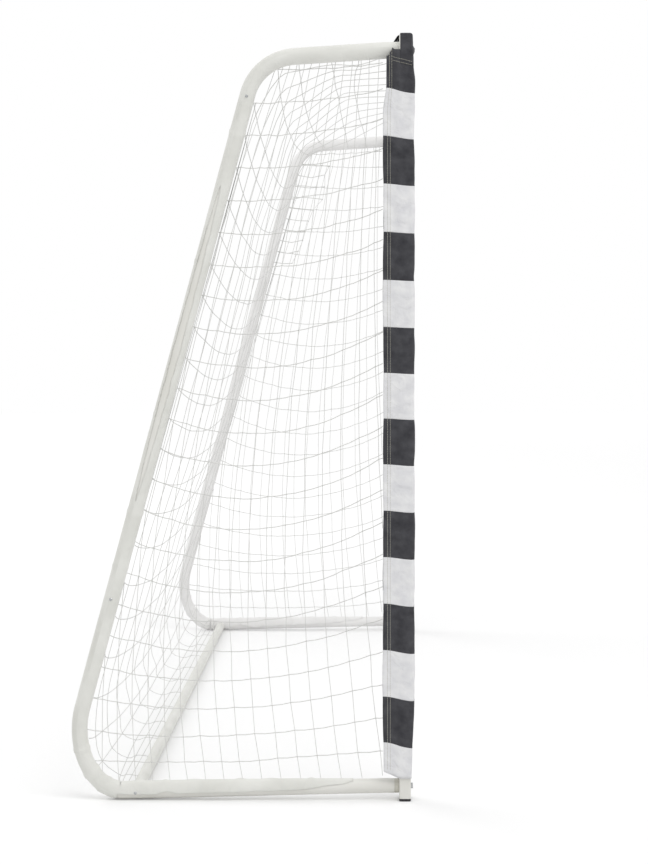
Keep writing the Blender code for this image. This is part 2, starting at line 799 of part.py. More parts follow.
def add_blister(sleeve, side):
    # the cloth swells over the bolt head under it
    across = side * side_plane
    corner_radius = BOLT_HEAD_FLATS / math.sqrt(3)
    kinds = (
        ("swelling", CLOTH + FIT, -FIT - CLOTH / 2, "UNION"),
        ("pocket", FIT, FRAME_CORNER, "DIFFERENCE"),
    )
    for kind, grow, back_setback, operation in kinds:
        front = world(across, -BOLT_HEAD_HEIGHT - FIT - grow, top_tube_height)
        back = world(across, back_setback, top_tube_height)
        hand = "left" if side < 0 else "right"
        tool = rod_cutter(f"{hand}_head_{kind}", corner_radius + grow, front, back, sides=16)
        add_cut(sleeve, tool, operation)


def strip_angles(cover_angle):
    # a tube's own corners, and the cloth's two edges on its flats
    step = 2 * math.pi / ROUND_SIDES
    count = int(cover_angle / step)
    return [-cover_angle, *[i * step for i in range(-count, count + 1)], cover_angle]


def flat_reach(angle):
    # how far out a many-sided ring lies at an angle, as a share of its corners' radius
    step = 2 * math.pi / ROUND_SIDES
    return flat_share / math.cos(angle % step - step / 2)


def swept_strip(name, path, covers, radius, side, finish):
    # cloth round a tube, open on the outer side of the D by what the cover leaves
    bm = bmesh.new()
    edges = None
    for i, point in enumerate(path):
        before = path[max(i - 1, 0)]
        after = path[min(i + 1, len(path) - 1)]
        way = (after - before).normalized()
        inward = Vector((way.y, -way.x))
        places = []
        corners = strip_angles(HEM_COVER_CLOSED)
        for angle in corners:
            angle = max(-covers[i], min(covers[i], angle))
            reach = radius * flat_reach(angle)
            offset = point + inward * reach * math.cos(angle)
            places.append(world(side * side_plane + reach * math.sin(angle), offset.x, offset.y))
        if edges is None:
            line = [bm.verts.new(place) for place in places]
            edges = [bm.edges.new(pair) for pair in zip(line, line[1:])]
            continue
        made = bmesh.ops.extrude_edge_only(bm, edges=edges)["geom"]
        edges = [item for item in made if isinstance(item, bmesh.types.BMEdge)]
        verts = [item for item in made if isinstance(item, bmesh.types.BMVert)]
        for vert, place in zip(verts, places):
            vert.co = place
    bmesh.ops.remove_doubles(bm, verts=bm.verts, dist=1e-5)
    return add_shell(add_object(name, mesh_from(bm, name), finish), CLOTH)


def make_side_hem(hand, side, holes):
    hem_radius = tube_radius + (FIT + CLOTH / 2) / flat_share
    hem_start = Vector((FRAME_DEPTH + cover, top_tube_height))
    run_end = Vector((FRAME_DEPTH + HEM_FRONT_CLEARANCE, 0))
    run_end.y = lower_arc[-1].y + bottom_run.y * (lower_arc[-1].x - run_end.x) / -bottom_run.x
    path = [hem_start, stub_top, *bend_arc, *lower_arc, run_end]
    # the hem opens along the lower bend, one flat of the tube at a time
    opening = [angle for angle in strip_angles(HEM_COVER_CLOSED)[::-1] if angle > HEM_COVER_OPEN]
    covers = opening + [HEM_COVER_OPEN] * 3
    covers = [HEM_COVER_CLOSED] * (len(path) - len(covers)) + covers
    hem = swept_strip(f"{hand}_hem", path, covers, hem_radius, side, WHITE_CLOTH)
    for hole in holes:
        add_cut(hem, hole)
    return hem


def make_bar_hem():
    half = side_plane - hem_outer - bar_radius
    points = [world(-half, bar_setback, bar_height), world(half, bar_setback, bar_height)]
    return round_tube("ground_bar_hem", points, bar_hem_outer, CLOTH, finish=WHITE_CLOTH)


# Nets


def path_length(points):
    return sum((b - a).length for a, b in zip(points, points[1:]))


def gaps_in(length, gap):
    return max(1, round(length / gap))


def along_path(points, share):
    # point at a share of a path's length
    lengths = [(b - a).length for a, b in zip(points, points[1:])]
    left = share * sum(lengths)
    for start, end, length in zip(points, points[1:], lengths):
        if left <= length:
            return start.lerp(end, left / length)
        left -= length
    return points[-1]


def inner_line(points, offset):
    # a path moved towards the inside of the D
    moved = []
    for i, point in enumerate(points):
        way = (points[min(i + 1, len(points) - 1)] - points[max(i - 1, 0)]).normalized()
        moved.append(point + Vector((way.y, -way.x)) * offset)
    return moved


def net_from(name, gaps_u, gaps_v, surface):
    bm = bmesh.new()
    bmesh.ops.create_grid(bm, x_segments=gaps_u, y_segments=gaps_v, size=0.5)
    for vert in bm.verts:
        vert.co = surface(vert.co.x + 0.5, vert.co.y + 0.5)
    net = add_object(name, mesh_from(bm, name), TWINE)
    wires = net.modifiers.new("twine", "WIREFRAME")
    wires.thickness = NET_CORD
    wires.offset = 0
    wires.use_even_offset = True
    wires.use_boundary = True
    wires.use_replace = True
    return net


def make_side_net(hand, side):
    offset = hem_outer + FIT + net_radius
    flap_end = FRAME_DEPTH + FIT + CLOTH / 2 + SEAM_FLAP + CLOTH / 2
    front = flap_end + FIT + net_radius
    half_bend = BEND_STEPS // 2
    half_lower = (BEND_STEPS + 2) // 2
    line = inner_line([stub_top, *bend_arc, *lower_arc, stub_bottom], offset)
    upper_turn = 1 + half_bend
    lower_turn = 1 + len(bend_arc) + half_lower
    top_line = line[: upper_turn + 1][::-1]
    rear_line = line[upper_turn : lower_turn + 1]
    bottom_line = line[lower_turn:]
    sleeve_top = crossbar_bottom - cover - FIT
    top_line[-1] = Vector((front, sleeve_top - net_radius))
    bottom_line[-1] = Vector((front, bottom_line[-1].y))
    flap_plane = frame_half_width + FIT / 2
    columns = gaps_in(path_length(bottom_line), SIDE_NET_COLUMN)
    rows = gaps_in(path_length(rear_line), SIDE_NET_ROW)

    def surface(u, v):
        # u runs from the rear tube to the post, v from the top tube down
        top = along_path(top_line, u)
        bottom = along_path(bottom_line, u)
        rear = along_path(rear_line, v)
        post = top_line[-1].lerp(bottom_line[-1], v)
        blend = top.lerp(bottom, v) + rear.lerp(post, u)
        corners = top_line[0].lerp(top_line[-1], u).lerp(bottom_line[0].lerp(bottom_line[-1], u), v)
        point = blend - corners
        sag = SIDE_NET_SAG * 4 * u * (1 - u) * math.sin(math.pi * v**SIDE_SAG_LOWNESS)
        outward = max(0, (u - 1 + 1 / columns) * columns)
        x = side_plane + (flap_plane - side_plane) * outward
        return world(side * x, point.x, point.y - sag)

    return net_from(f"net_{hand}", columns, rows, surface)


def make_back_nets():
    # one length of net in three nodes: over the top, down the back and under to the ground bar
    half = side_plane - hem_outer - FIT - net_radius
    middle = FIT + CLOTH / 2
    droop = Vector((math.cos(CROSSBAR_FLAP_DROOP), -math.sin(CROSSBAR_FLAP_DROOP)))
    flap_root = Vector((FRAME_DEPTH + middle, frame_top + middle))
    start = flap_root + droop * (SEAM_FLAP + CLOTH + FIT + net_radius)
    bar_axis = Vector((bar_setback, bar_height))
    bar_reach = bar_hem_outer + FIT + net_radius
    end = bar_axis + Vector((bar_reach, 0))
    last = [point for point in lower_arc if point.x > end.x + bar_reach]
    spans = (
        ("net_top", [start, *bend_arc], TURNED_NET_ROW),
        ("net_back", [bend_arc[-1], last[0]], BACK_NET_ROW),
        ("net_floor", [*last, end], TURNED_NET_ROW),
    )
    total = path_length([start, *bend_arc, *last, end])
    columns = gaps_in(2 * half, BACK_NET_COLUMN)
    begun = 0.0
    for name, points, row in spans:
        length = path_length(points)
        parting = (FIT + net_radius) / length

        def surface(u, v, points=points, length=length, begun=begun, parting=parting):
            low = 0 if begun == 0 else parting
            high = 1 if points[-1] == end else 1 - parting
            share = low + (high - low) * v
            point = along_path(points, share)
            x = half * (2 * u - 1)
            run = min(1, (begun + share * length) / total)
            slack = (1 - (2 * u - 1) ** 2) * math.sin(math.pi * run) ** BACK_SAG_FULLNESS
            height = max(point.y - BACK_NET_SAG * slack, min(point.y, FLOOR_NET_CLEARANCE + net_radius))
            return world(x, point.x - BACK_SAG_FORWARD * slack, height)

        net_from(name, columns, gaps_in(length, row), surface)
        begun += length


clear_scene()
goal = new_collection("soccer_goal")
cutters = new_collection("cutters")
sides = (("left", -1), ("right", 1))
make_crossbar()
for hand, side in sides:
    make_foot_cap(hand, side)
    make_post(hand, side)
    make_corner(hand, side)
    hem_holes = make_side_frame(hand, side)
    make_post_sleeve(hand, side)
    make_side_hem(hand, side, hem_holes)
    make_side_net(hand, side)
make_ground_bar()
make_crossbar_sleeve()
make_bar_hem()
make_back_nets()
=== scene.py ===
import json
import math
import random

import bpy
from mathutils import Matrix, Vector, noise


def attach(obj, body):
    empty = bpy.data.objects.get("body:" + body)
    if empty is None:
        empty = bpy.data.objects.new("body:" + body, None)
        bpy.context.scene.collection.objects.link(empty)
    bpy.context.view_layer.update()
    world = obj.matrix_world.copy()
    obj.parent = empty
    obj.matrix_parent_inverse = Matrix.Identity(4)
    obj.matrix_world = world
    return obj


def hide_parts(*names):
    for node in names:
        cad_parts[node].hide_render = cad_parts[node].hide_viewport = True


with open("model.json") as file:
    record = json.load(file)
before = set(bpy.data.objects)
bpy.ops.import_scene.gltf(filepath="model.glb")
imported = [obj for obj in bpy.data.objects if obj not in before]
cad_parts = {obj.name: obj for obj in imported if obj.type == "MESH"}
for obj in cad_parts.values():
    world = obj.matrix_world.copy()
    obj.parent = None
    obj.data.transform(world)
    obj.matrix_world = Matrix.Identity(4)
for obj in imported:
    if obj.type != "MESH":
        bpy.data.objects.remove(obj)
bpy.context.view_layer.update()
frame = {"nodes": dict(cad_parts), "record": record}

# Every place is (x, setback behind the posts' front face, height), in metres
goal = {
    "frontY": -0.4425,
    "depth": 0.885,
    "sidePlane": 1.4685,  # x of the side frames
    "halfWidth": 1.4985,  # outer face of the posts' steel
    "top": 1.9985,
    "postWidth": 0.060,
    "frameDepth": 0.030,
}
sideFrame = {
    "radius": 0.019,
    "wall": 0.0012,
    "start": 0.0426,  # the tubes begin behind their plugs
    "stub": 0.0686,
    "topHeight": 1.959,
    "cornerSetback": 0.401,
    "cornerHeight": 1.937,
    "bendRadius": 0.135,
    "bottomHeight": 0.035,
    "reach": 0.1165,  # half axes of the lower bend's ellipse
    "rise": 0.1635,
    "bendSteps": 28,
    "sides": 24,
    "jointHeight": 0.530,
    "jointGap": 0.0006,
}
hands = {"left": -1, "right": 1}


def place(x, setback, height):
    return Vector((x, goal["frontY"] + setback, height))


def between(stops, value):
    # a value read off a row of (place, value) stops
    for (x0, y0), (x1, y1) in zip(stops, stops[1:]):
        if value <= x1:
            return y0 + (y1 - y0) * (value - x0) / (x1 - x0)
    return stops[-1][1]


# Materials


# scales of the patterns: a noise has about this many patches to a metre
patterns = {
    "coatPatches": 6,
    "orangePeel": 420,  # dimples of 2.4 mm
    "clothPatches": 9,
    "weave": 160,  # threads of 2 mm, some five times the real ones, so that they show
    "hemCreases": 26,  # creases 40 mm apart
    "sleeveCreases": 32,
    "blackPatches": 34,
    "whitePatches": 30,
    "twinePatches": 14,
    "twineLay": 110,  # ridges 6 mm apart, twice the real ones
    "nylonPatches": 60,
    "nylonGrain": 1500,  # grains of 0.7 mm
    "zincPatches": 300,
    "zincClouds": 500,
}


def fromHex(code):
    # sRGB hex to the linear colour that Blender's shaders take
    channels = [int(code[i : i + 2], 16) / 255 for i in (1, 3, 5)]
    return (*[c / 12.92 if c <= 0.04045 else ((c + 0.055) / 1.055) ** 2.4 for c in channels], 1)


def addNode(tree, kind, inputs=None, **settings):
    node = tree.nodes.new("ShaderNode" + kind)
    for name, value in settings.items():
        setattr(node, name, value)
    for socket, value in (inputs or {}).items():
        if isinstance(value, bpy.types.NodeSocket):
            tree.links.new(value, node.inputs[socket])
        else:
            node.inputs[socket].default_value = value
    return node


def newMaterial(name, sockets):
    made = bpy.data.materials.new(name)
    made.use_nodes = True
    tree = made.node_tree
    shader = tree.nodes["Principled BSDF"]
    for socket, value in sockets.items():
        shader.inputs[socket].default_value = value
    return made, tree, shader


def spread(tree, vector, low, high, scale, detail=3):
    # a colour that wanders between two, in soft patches
    patches = addNode(tree, "TexNoise", {"Vector": vector, "Scale": scale, "Detail": detail})
    ramp = addNode(tree, "ValToRGB", {"Fac": patches.outputs["Fac"]})
    ramp.color_ramp.elements[0].position = 0.3
    ramp.color_ramp.elements[1].position = 0.7
    ramp.color_ramp.elements[0].color = fromHex(low)
    ramp.color_ramp.elements[1].color = fromHex(high)
    return ramp.outputs["Color"]


def patchyMaterial(name, sockets, uses, *colour):
    # a material whose own colour wanders; uses says where its patterns lie, "Object" or "UV"
    made, tree, shader = newMaterial(name, sockets)
    source = addNode(tree, "UVMap" if uses == "UV" else "TexCoord")
    where = source.outputs[uses]
    tree.links.new(spread(tree, where, *colour), shader.inputs["Base Color"])
    return made, tree, shader, where


def addGrain(tree, shader, where, scale, strength, depth):
    # an even grain over the whole skin
    grain = addNode(tree, "TexNoise", {"Vector": where, "Scale": scale, "Detail": 2})
    sockets = {"Height": grain.outputs["Fac"], "Strength": strength, "Distance": depth}
    bump = addNode(tree, "Bump", sockets)
    tree.links.new(bump.outputs["Normal"], shader.inputs["Normal"])


def powderCoat(name, low, high):
    # epoxy-polyester powder coat on steel: a satin skin with a faint orange peel
    sockets = {"Roughness": 0.38, "IOR": 1.5, "Coat Weight": 0.15, "Coat Roughness": 0.25}
    colour = (low, high, patterns["coatPatches"])
    made, tree, shader, where = patchyMaterial(name, sockets, "Object", *colour)
    addGrain(tree, shader, where, patterns["orangePeel"], strength=0.12, depth=0.0004)
    return made


def weaveBump(tree, uv, strength):
    # plain weave: two sets of threads that cross, in the cloth's own metres
    heights = []
    for direction in ("X", "Y"):
        wave = addNode(
            tree,
            "TexWave",
            {"Vector": uv, "Scale": patterns["weave"], "Distortion": 0.6, "Detail": 1},
            bands_direction=direction,
        )
        heights.append(wave.outputs["Fac"])
    weave = addNode(tree, "Math", {0: heights[0], 1: heights[1]}, operation="MULTIPLY")
    return addNode(
        tree,
        "Bump",
        {"Height": weave.outputs["Value"], "Strength": strength, "Distance": 0.0006},
    )


def creaseBump(tree, uv, scale, depth, normal):
    # soft creases pressed into the cloth when it was packed
    creases = addNode(
        tree, "TexNoise", {"Vector": uv, "Scale": scale, "Detail": 4, "Distortion": 0.9}
    )
    return addNode(
        tree,
        "Bump",
        {"Height": creases.outputs["Fac"], "Strength": 0.7, "Distance": depth, "Normal": normal},
    )


def wovenCloth(name, low, high):
    # plain-woven polyester: matt, with a soft sheen at grazing angles
    sockets = {"Roughness": 0.82, "Sheen Weight": 0.25, "Sheen Roughness": 0.5}
    colour = (low, high, patterns["clothPatches"])
    made, tree, shader, uv = patchyMaterial(name, sockets, "UV", *colour)
    bump = weaveBump(tree, uv, 0.25)
    crease = creaseBump(tree, uv, patterns["hemCreases"], 0.004, bump.outputs["Normal"])
    tree.links.new(crease.outputs["Normal"], shader.inputs["Normal"])
    return made


stripes = {
    "pitch": 0.1217,
    "firstEdge": 1.8494,  # height of the highest edge on the posts
    "white": ("#D7D7DA", "#E9E9E9"),
    "black": ("#2B2B30", "#46464A"),
    "seam": 0.012,  # half the width of a seam between two bands, as a share of a pair of bands
}


def stripedCloth(name, offset):
    # the same polyester sewn in bands; v of the UV map runs along the bands in metres
    sockets = {"Roughness": 0.9, "Sheen Weight": 0.08, "Sheen Roughness": 0.5}
    made, tree, shader = newMaterial(name, sockets)
    uv = addNode(tree, "UVMap").outputs["UV"]
    lengthwise = addNode(tree, "SeparateXYZ", {"Vector": uv}).outputs["Y"]
    share = addNode(tree, "Math", {0: lengthwise, 1: offset}, operation="SUBTRACT")
    pair = 2 * stripes["pitch"]
    share = addNode(tree, "Math", {0: share.outputs["Value"], 1: pair}, operation="DIVIDE")
    share = addNode(tree, "Math", {0: share.outputs["Value"]}, operation="FRACT")
    band = addNode(tree, "Math", {0: share.outputs["Value"], 1: 0.5}, operation="GREATER_THAN")
    colour = addNode(
        tree,
        "Mix",
        {
            0: band.outputs["Value"],
            6: spread(tree, uv, *stripes["black"], patterns["blackPatches"], 4),
            7: spread(tree, uv, *stripes["white"], patterns["whitePatches"], 4),
        },
        data_type="RGBA",
    )
    tree.links.new(colour.outputs[2], shader.inputs["Base Color"])
    bump = weaveBump(tree, uv, 0.3)
    crease = creaseBump(tree, uv, patterns["sleeveCreases"], 0.007, bump.outputs["Normal"])
    fold = addNode(tree, "Math", {0: share.outputs["Value"], 1: 0.25}, operation="PINGPONG")
    ridge = addNode(
        tree,
        "MapRange",
        {"Value": fold.outputs["Value"], "From Max": stripes["seam"]},
        interpolation_type="SMOOTHSTEP",
    )
    sewn = addNode(
        tree,
        "Bump",
        {
            "Height": ridge.outputs["Result"],
            "Strength": 0.6,
            "Distance": 0.0015,
            "Normal": crease.outputs["Normal"],
        },
    )
    tree.links.new(sewn.outputs["Normal"], shader.inputs["Normal"])
    return made


def twineMaterial(name, low, high):
    # twisted polyester twine: the strands' lay shows as slanted ridges
    sockets = {"Roughness": 0.7, "Sheen Weight": 0.3}
    colour = (low, high, patterns["twinePatches"])
    made, tree, shader, uv = patchyMaterial(name, sockets, "UV", *colour)
    lay = addNode(
        tree,
        "TexWave",
        {"Vector": uv, "Scale": patterns["twineLay"], "Distortion": 0.2},
        bands_direction="DIAGONAL",
    )
    bump = addNode(
        tree, "Bump", {"Height": lay.outputs["Fac"], "Strength": 0.5, "Distance": 0.0005}
    )
    tree.links.new(bump.outputs["Normal"], shader.inputs["Normal"])
    return made


def mouldedNylon(name, low, high, roughness):
    # injection-moulded nylon: a fine spark-eroded grain
    sockets = {"Roughness": roughness, "IOR": 1.53}
    colour = (low, high, patterns["nylonPatches"])
    made, tree, shader, where = patchyMaterial(name, sockets, "Object", *colour)
    addGrain(tree, shader, where, patterns["nylonGrain"], strength=0.25, depth=0.0002)
    return made


def zincPlate(name):
    # bright zinc on turned steel: grey metal with cloudy roughness
    colour = ("#A9ABAC", "#C9CACB", patterns["zincPatches"])
    made, tree, shader, where = patchyMaterial(name, {"Metallic": 1.0}, "Object", *colour)
    cloud = addNode(
        tree, "TexNoise", {"Vector": where, "Scale": patterns["zincClouds"], "Detail": 3}
    )
    rough = addNode(tree, "MapRange", {"Value": cloud.outputs["Fac"], "To Min": 0.25, "To Max": 0.5})
    tree.links.new(rough.outputs["Result"], shader.inputs["Roughness"])
    return made


finishes = {
    "powder_coat_white": powderCoat("whitePowderCoat", "#DAD9D2", "#E4E3DE"),
    "nylon_black": mouldedNylon("blackNylon", "#151517", "#1E1E21", 0.5),
    "nylon_grey": mouldedNylon("greyNylon", "#C2C0B4", "#CAC8BE", 0.45),
    "zinc_plate": zincPlate("zincPlate"),
    "polyester_white": wovenCloth("whitePolyester", "#D8D8D2", "#E4E4DF"),
    "polyester_black": stripedCloth("bandedPolyester", stripes["firstEdge"]),
    "net_twine": twineMaterial("polyesterTwine", "#CECECB", "#DADAD7"),
    "thread": wovenCloth("sewingThread", "#A9A798", "#BBB9AC"),
}
# the right-hand frame's coat and hem are lighter copies of the white: painted light that brightens
# the far frame
frameWhites = {
    "left": (finishes["powder_coat_white"], finishes["polyester_white"]),
    "right": (
        powderCoat("paintedLightPowderCoat", "#E6E5E4", "#EEEDEC"),
        wovenCloth("paintedLightPolyester", "#E6E5E4", "#EEEDEC"),
    ),
}
barOffset = -0.5 * stripes["pitch"]
crossbarCloth = stripedCloth("bandedCrossbarPolyester", barOffset)
slots = {row["node"]: row["material_slot"] for row in frame["record"]["subparts"]}
for name, node in frame["nodes"].items():
    node.data.materials.clear()
    node.data.materials.append(finishes[slots[name]])
print("materials made:", len(bpy.data.materials))


# Mesh helpers


def newParts():
    return {"points": [], "faces": [], "uvs": []}


def addRings(parts, rings, uvRings, closed=False):
    # quads between each ring of points and the next
    count = len(rings[0])
    first = len(parts["points"])
    for ring in rings:
        parts["points"].extend(ring)
    spans = count if closed else count - 1
    for i in range(len(rings) - 1):
        for j in range(spans):
            k = (j + 1) % count
            a, b = first + i * count, first + (i + 1) * count
            parts["faces"].append((a + j, a + k, b + k, b + j))
            near, far = uvRings[i], uvRings[i + 1]
            parts["uvs"].extend((near[j], near[j + 1], far[j + 1], far[j]))


def addCap(parts, start, count, uv, turned):
    ring = list(range(start, start + count))
    parts["faces"].append(tuple(ring[::-1] if turned else ring))
    parts["uvs"].extend([uv] * count)


def newObject(name, data):
    made = bpy.data.objects.new(name, data)
    bpy.context.scene.collection.objects.link(made)
    return made


def meshPiece(name, parts, material, replaced=()):
    mesh = bpy.data.meshes.new(name)
    mesh.from_pydata(parts["points"], [], parts["faces"])
    layer = mesh.uv_layers.new(name="UVMap")
    layer.data.foreach_set("uv", [value for uv in parts["uvs"] for value in uv])
    mesh.shade_smooth()
    mesh.materials.append(material)
    piece = newObject(name, mesh)
    settle(piece, replaced)
    return piece


def settle(piece, replaced=()):
    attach(piece, "root")
    if replaced:
        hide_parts(*replaced)


def only(piece):
    bpy.ops.object.select_all(action="DESELECT")
    piece.select_set(True)
    bpy.context.view_layer.objects.active = piece


def applied(piece, kind, **settings):
    only(piece)
    modifier = piece.modifiers.new(kind.lower(), kind)
    for name, value in settings.items():
        setattr(modifier, name, value)
    bpy.ops.object.modifier_apply(modifier=modifier.name)


def edited(piece, operator, **settings):
    # one operator on all of a mesh
    only(piece)
    bpy.ops.object.mode_set(mode="EDIT")
    bpy.ops.mesh.select_all(action="SELECT")
    operator(**settings)
    bpy.ops.object.mode_set(mode="OBJECT")


def outwards(piece):
    edited(piece, bpy.ops.mesh.normals_make_consistent, inside=False)


# The side frame's line


def tangentAngle(away, way):
    # where on the lower bend's ellipse a line from outside touches it
    squashed = away.y * sideFrame["reach"] / sideFrame["rise"]
    distance = math.hypot(away.x, squashed)
    return math.atan2(squashed, away.x) + way * math.acos(sideFrame["reach"] / distance)


def makeSideLine():
    centre = Vector((
        goal["depth"] - sideFrame["radius"] - sideFrame["reach"],
        sideFrame["radius"] + sideFrame["rise"],
    ))
    corner = Vector((sideFrame["cornerSetback"], sideFrame["cornerHeight"]))
    stubTop = Vector((sideFrame["stub"], sideFrame["topHeight"]))
    stubBottom = Vector((sideFrame["stub"], sideFrame["bottomHeight"]))
    rearAngle = tangentAngle(corner - centre, -1)
    floorAngle = tangentAngle(stubBottom - centre, 1)
    count = sideFrame["bendSteps"]
    lower = []
    for step in range(count + 1):
        angle = rearAngle + (floorAngle - rearAngle) * step / count
        away = Vector((sideFrame["reach"] * math.cos(angle), sideFrame["rise"] * math.sin(angle)))
        lower.append(centre + away)
    incoming = (corner - stubTop).normalized()
    outgoing = (lower[0] - corner).normalized()
    turn = incoming.angle(outgoing)
    start = corner - incoming * sideFrame["bendRadius"] * math.tan(turn / 2)
    middle = start + Vector((incoming.y, -incoming.x)) * sideFrame["bendRadius"]
    upper = []
    for step in range(count + 1):
        spoke = Matrix.Rotation(-turn * step / count, 2) @ (start - middle)
        upper.append(middle + spoke)
    return [
        Vector((sideFrame["start"], sideFrame["topHeight"])),
        stubTop,
        *upper,
        *lower,
        stubBottom,
        Vector((sideFrame["start"], sideFrame["bottomHeight"])),
    ], len(upper)


sideLine, bendCount = makeSideLine()
upperBend = sideLine[2 : 2 + bendCount]
lowerBend = sideLine[2 + bendCount : -2]
rearWay = (lowerBend[0] - upperBend[-1]).normalized()


def lengthOf(line):
    return sum((b - a).length for a, b in zip(line, line[1:]))


def along(line, distance):
    # the point at a distance along a line, and the line's direction there
    left = distance
    for a, b in zip(line, line[1:]):
        span = (b - a).length
        if left <= span or b is line[-1]:
            way = (b - a).normalized()
            return a + way * min(left, span), way
        left -= span


def evenly(line, spacing):
    # (point, direction, distance) at even steps, with the directions averaged over a step
    total = lengthOf(line)
    count = max(2, round(total / spacing))
    stations = []
    for i in range(count + 1):
        distance = total * i / count
        before = along(line, max(0, distance - spacing / 2))[0]
        after = along(line, min(total, distance + spacing / 2))[0]
        stations.append((along(line, distance)[0], (after - before).normalized(), distance))
    return stations


def nearestDistance(line, target):
    # distance along the line at which it comes closest to a point
    best, at, gone = math.inf, 0, 0
    for a, b in zip(line, line[1:]):
        span = (b - a).length
        share = max(0, min(1, (target - a).dot(b - a) / span**2))
        off = (a.lerp(b, share) - target).length
        if off < best:
            best, at = off, gone + share * span
        gone += span
    return at


# Side tubes: one bent pipe each for the top, the rear and the bottom


def pipe(name, points, material, replaced):
    curve = bpy.data.curves.new(name, "CURVE")
    curve.dimensions = "3D"
    curve.bevel_depth = sideFrame["radius"] - sideFrame["wall"] / 2
    curve.bevel_resolution = sideFrame["sides"] // 2 - 2
    spline = curve.splines.new("POLY")
    spline.points.add(len(points) - 1)
    for knot, point in zip(spline.points, points):
        knot.co = (*point, 1)
    only(newObject(name, curve))
    bpy.ops.object.convert(target="MESH")
    piece = bpy.context.object
    applied(piece, "SOLIDIFY", thickness=sideFrame["wall"], offset=0, use_even_offset=True)
    piece.data.materials.clear()
    piece.data.materials.append(material)
    piece.data.shade_smooth()
    bpy.ops.object.shade_smooth_by_angle(angle=math.radians(40))
    settle(piece, replaced)


lowerJoint = lowerBend[0] - rearWay * ((sideFrame["jointHeight"] - lowerBend[0].y) / -rearWay.y)
gap = rearWay * sideFrame["jointGap"]
for hand, side in hands.items():
    runs = {
        "top": sideLine[:2] + upperBend,
        "rear": [upperBend[-1] + gap, lowerJoint],
        "bottom": [lowerJoint + gap, *lowerBend, *sideLine[-2:]],
    }
    for part, line in runs.items():
        points = [place(side * goal["sidePlane"], point.x, point.y) for point in line]
        name = f"{hand}{part.title()}Pipe"
        pipe(name, points, frameWhites[hand][0], [f"{hand}_{part}_tube"])
print("side tubes made")


# Hems: the net's white cloth edge, wrapped round the side tubes


hem = {
    "radius": 0.0195,  # inner face of the cloth
    "thickness": 0.0008,
    "slack": 0.0003,
    "lift": (0.0030, 0.0070),  # how far the net draws it off the tube, on the top and bottom runs
    "spacing": 0.005,
    "around": 30,
    "slitAngle": math.radians(104),  # from the inside of the D towards the goal's outside
    "start": 0.026,
    "end": 0.150,
    "gapes": (0.78, 1.60),  # heights between which the slit gapes on the rear run
    "gap": 0.0100,  # half the slit's opening there
    "ripple": (0.3, 25),  # how far that varies, and the scale
    "opensFrom": (0.762, 0.02),  # where the cloth starts to open on the bottom run
    # how much of the tube's height it covers there, how far that wanders, and the scale
    "covers": (0.65, 0.30, 17),
    "drawnBack": (0.9, 6),  # how far the edge is drawn back at the end, and how late
    "rumple": (1.3, 14),  # scale of the cloth's unevenness, round the tube and along it
    "area": 0.9,  # of a cloth that wraps the tube all round
    # folds across the tube: setback and height, width, rise, and slant round the tube
    "folds": (
        (0.160, 1.953, 0.004, 0.0008, 0.0),
        (0.455, 1.744, 0.007, 0.0016, 0.012),
        (0.565, 1.409, 0.005, 0.0012, -0.006),
        (0.668, 1.009, 0.005, 0.0009, 0.004),
        (0.727, 0.752, 0.006, 0.0014, 0.008),
        (0.770, 0.610, 0.006, 0.0010, -0.008),
        (0.866, 0.130, 0.005, 0.0020, 0.003),
        (0.830, 0.075, 0.007, 0.0026, 0.010),
        (0.796, 0.045, 0.006, 0.0018, -0.012),
        (0.710, 0.030, 0.011, 0.0016, 0.030),
        (0.642, 0.030, 0.006, 0.0020, -0.008),
        (0.560, 0.030, 0.016, 0.0018, 0.040),
        (0.448, 0.030, 0.009, 0.0026, -0.020),
        (0.360, 0.030, 0.014, 0.0018, 0.035),
        (0.262, 0.030, 0.007, 0.0022, -0.015),
    ),
}


def slitGap(point, distance):
    # half the slit's opening, in metres round the tube
    low, high = hem["gapes"]
    if point.x < sideFrame["cornerSetback"] or not low < point.y < high:
        return 0
    share = (point.y - low) / (high - low)
    varies, scale = hem["ripple"]
    ripple = 1 + varies * noise.noise(Vector((distance * scale, 0, 5)))
    return hem["gap"] * math.sin(math.pi * share) ** 0.6 * ripple


def tubeNoise(angle, distance, scales, offset=0):
    # a noise that runs round a tube and along it
    around, lengthwise = scales
    spot = (math.cos(angle) * around, math.sin(angle) * around, distance * lengthwise + offset)
    return noise.noise(Vector(spot))


def hemRing(point, way, side, distance, edgeFrom, edgeTo, lifted):
    inward = Vector((way.y, -way.x))
    ring = []
    for i in range(hem["around"] + 1):
        angle = edgeFrom + (edgeTo - edgeFrom) * i / hem["around"]
        radius = hem["radius"] + hemLoose(angle, distance, side)
        radius += lifted * hem["lift"][way.x < 0] * way.x**2 * max(0, math.cos(angle)) ** 2
        offset = inward * math.cos(angle) * radius
        x = side * (goal["sidePlane"] + math.sin(angle) * radius)
        ring.append(place(x, point.x + offset.x, point.y + offset.y))
    return ring


def hemLoose(angle, distance, side):
    # how far the cloth stands off the tube
    slack = hem["slack"] * (1.2 + tubeNoise(angle, distance, hem["rumple"], 7 * side))
    for at, width, rise, slant in hemFolds:
        off = (distance - at - slant * math.sin(angle)) / width
        slack += rise * math.exp(-off * off)
    return slack


hemLine = [Vector((hem["start"], sideFrame["topHeight"])), *sideLine[1:-2]]
endShare = (lowerBend[-1].x - hem["end"]) / (lowerBend[-1].x - sideFrame["stub"])
hemLine.append(lowerBend[-1].lerp(sideLine[-2], endShare))


def hemDistance(setback, height):
    return nearestDistance(hemLine, Vector((setback, height)))


hemFolds = [(hemDistance(*fold[:2]), *fold[2:]) for fold in hem["folds"]]


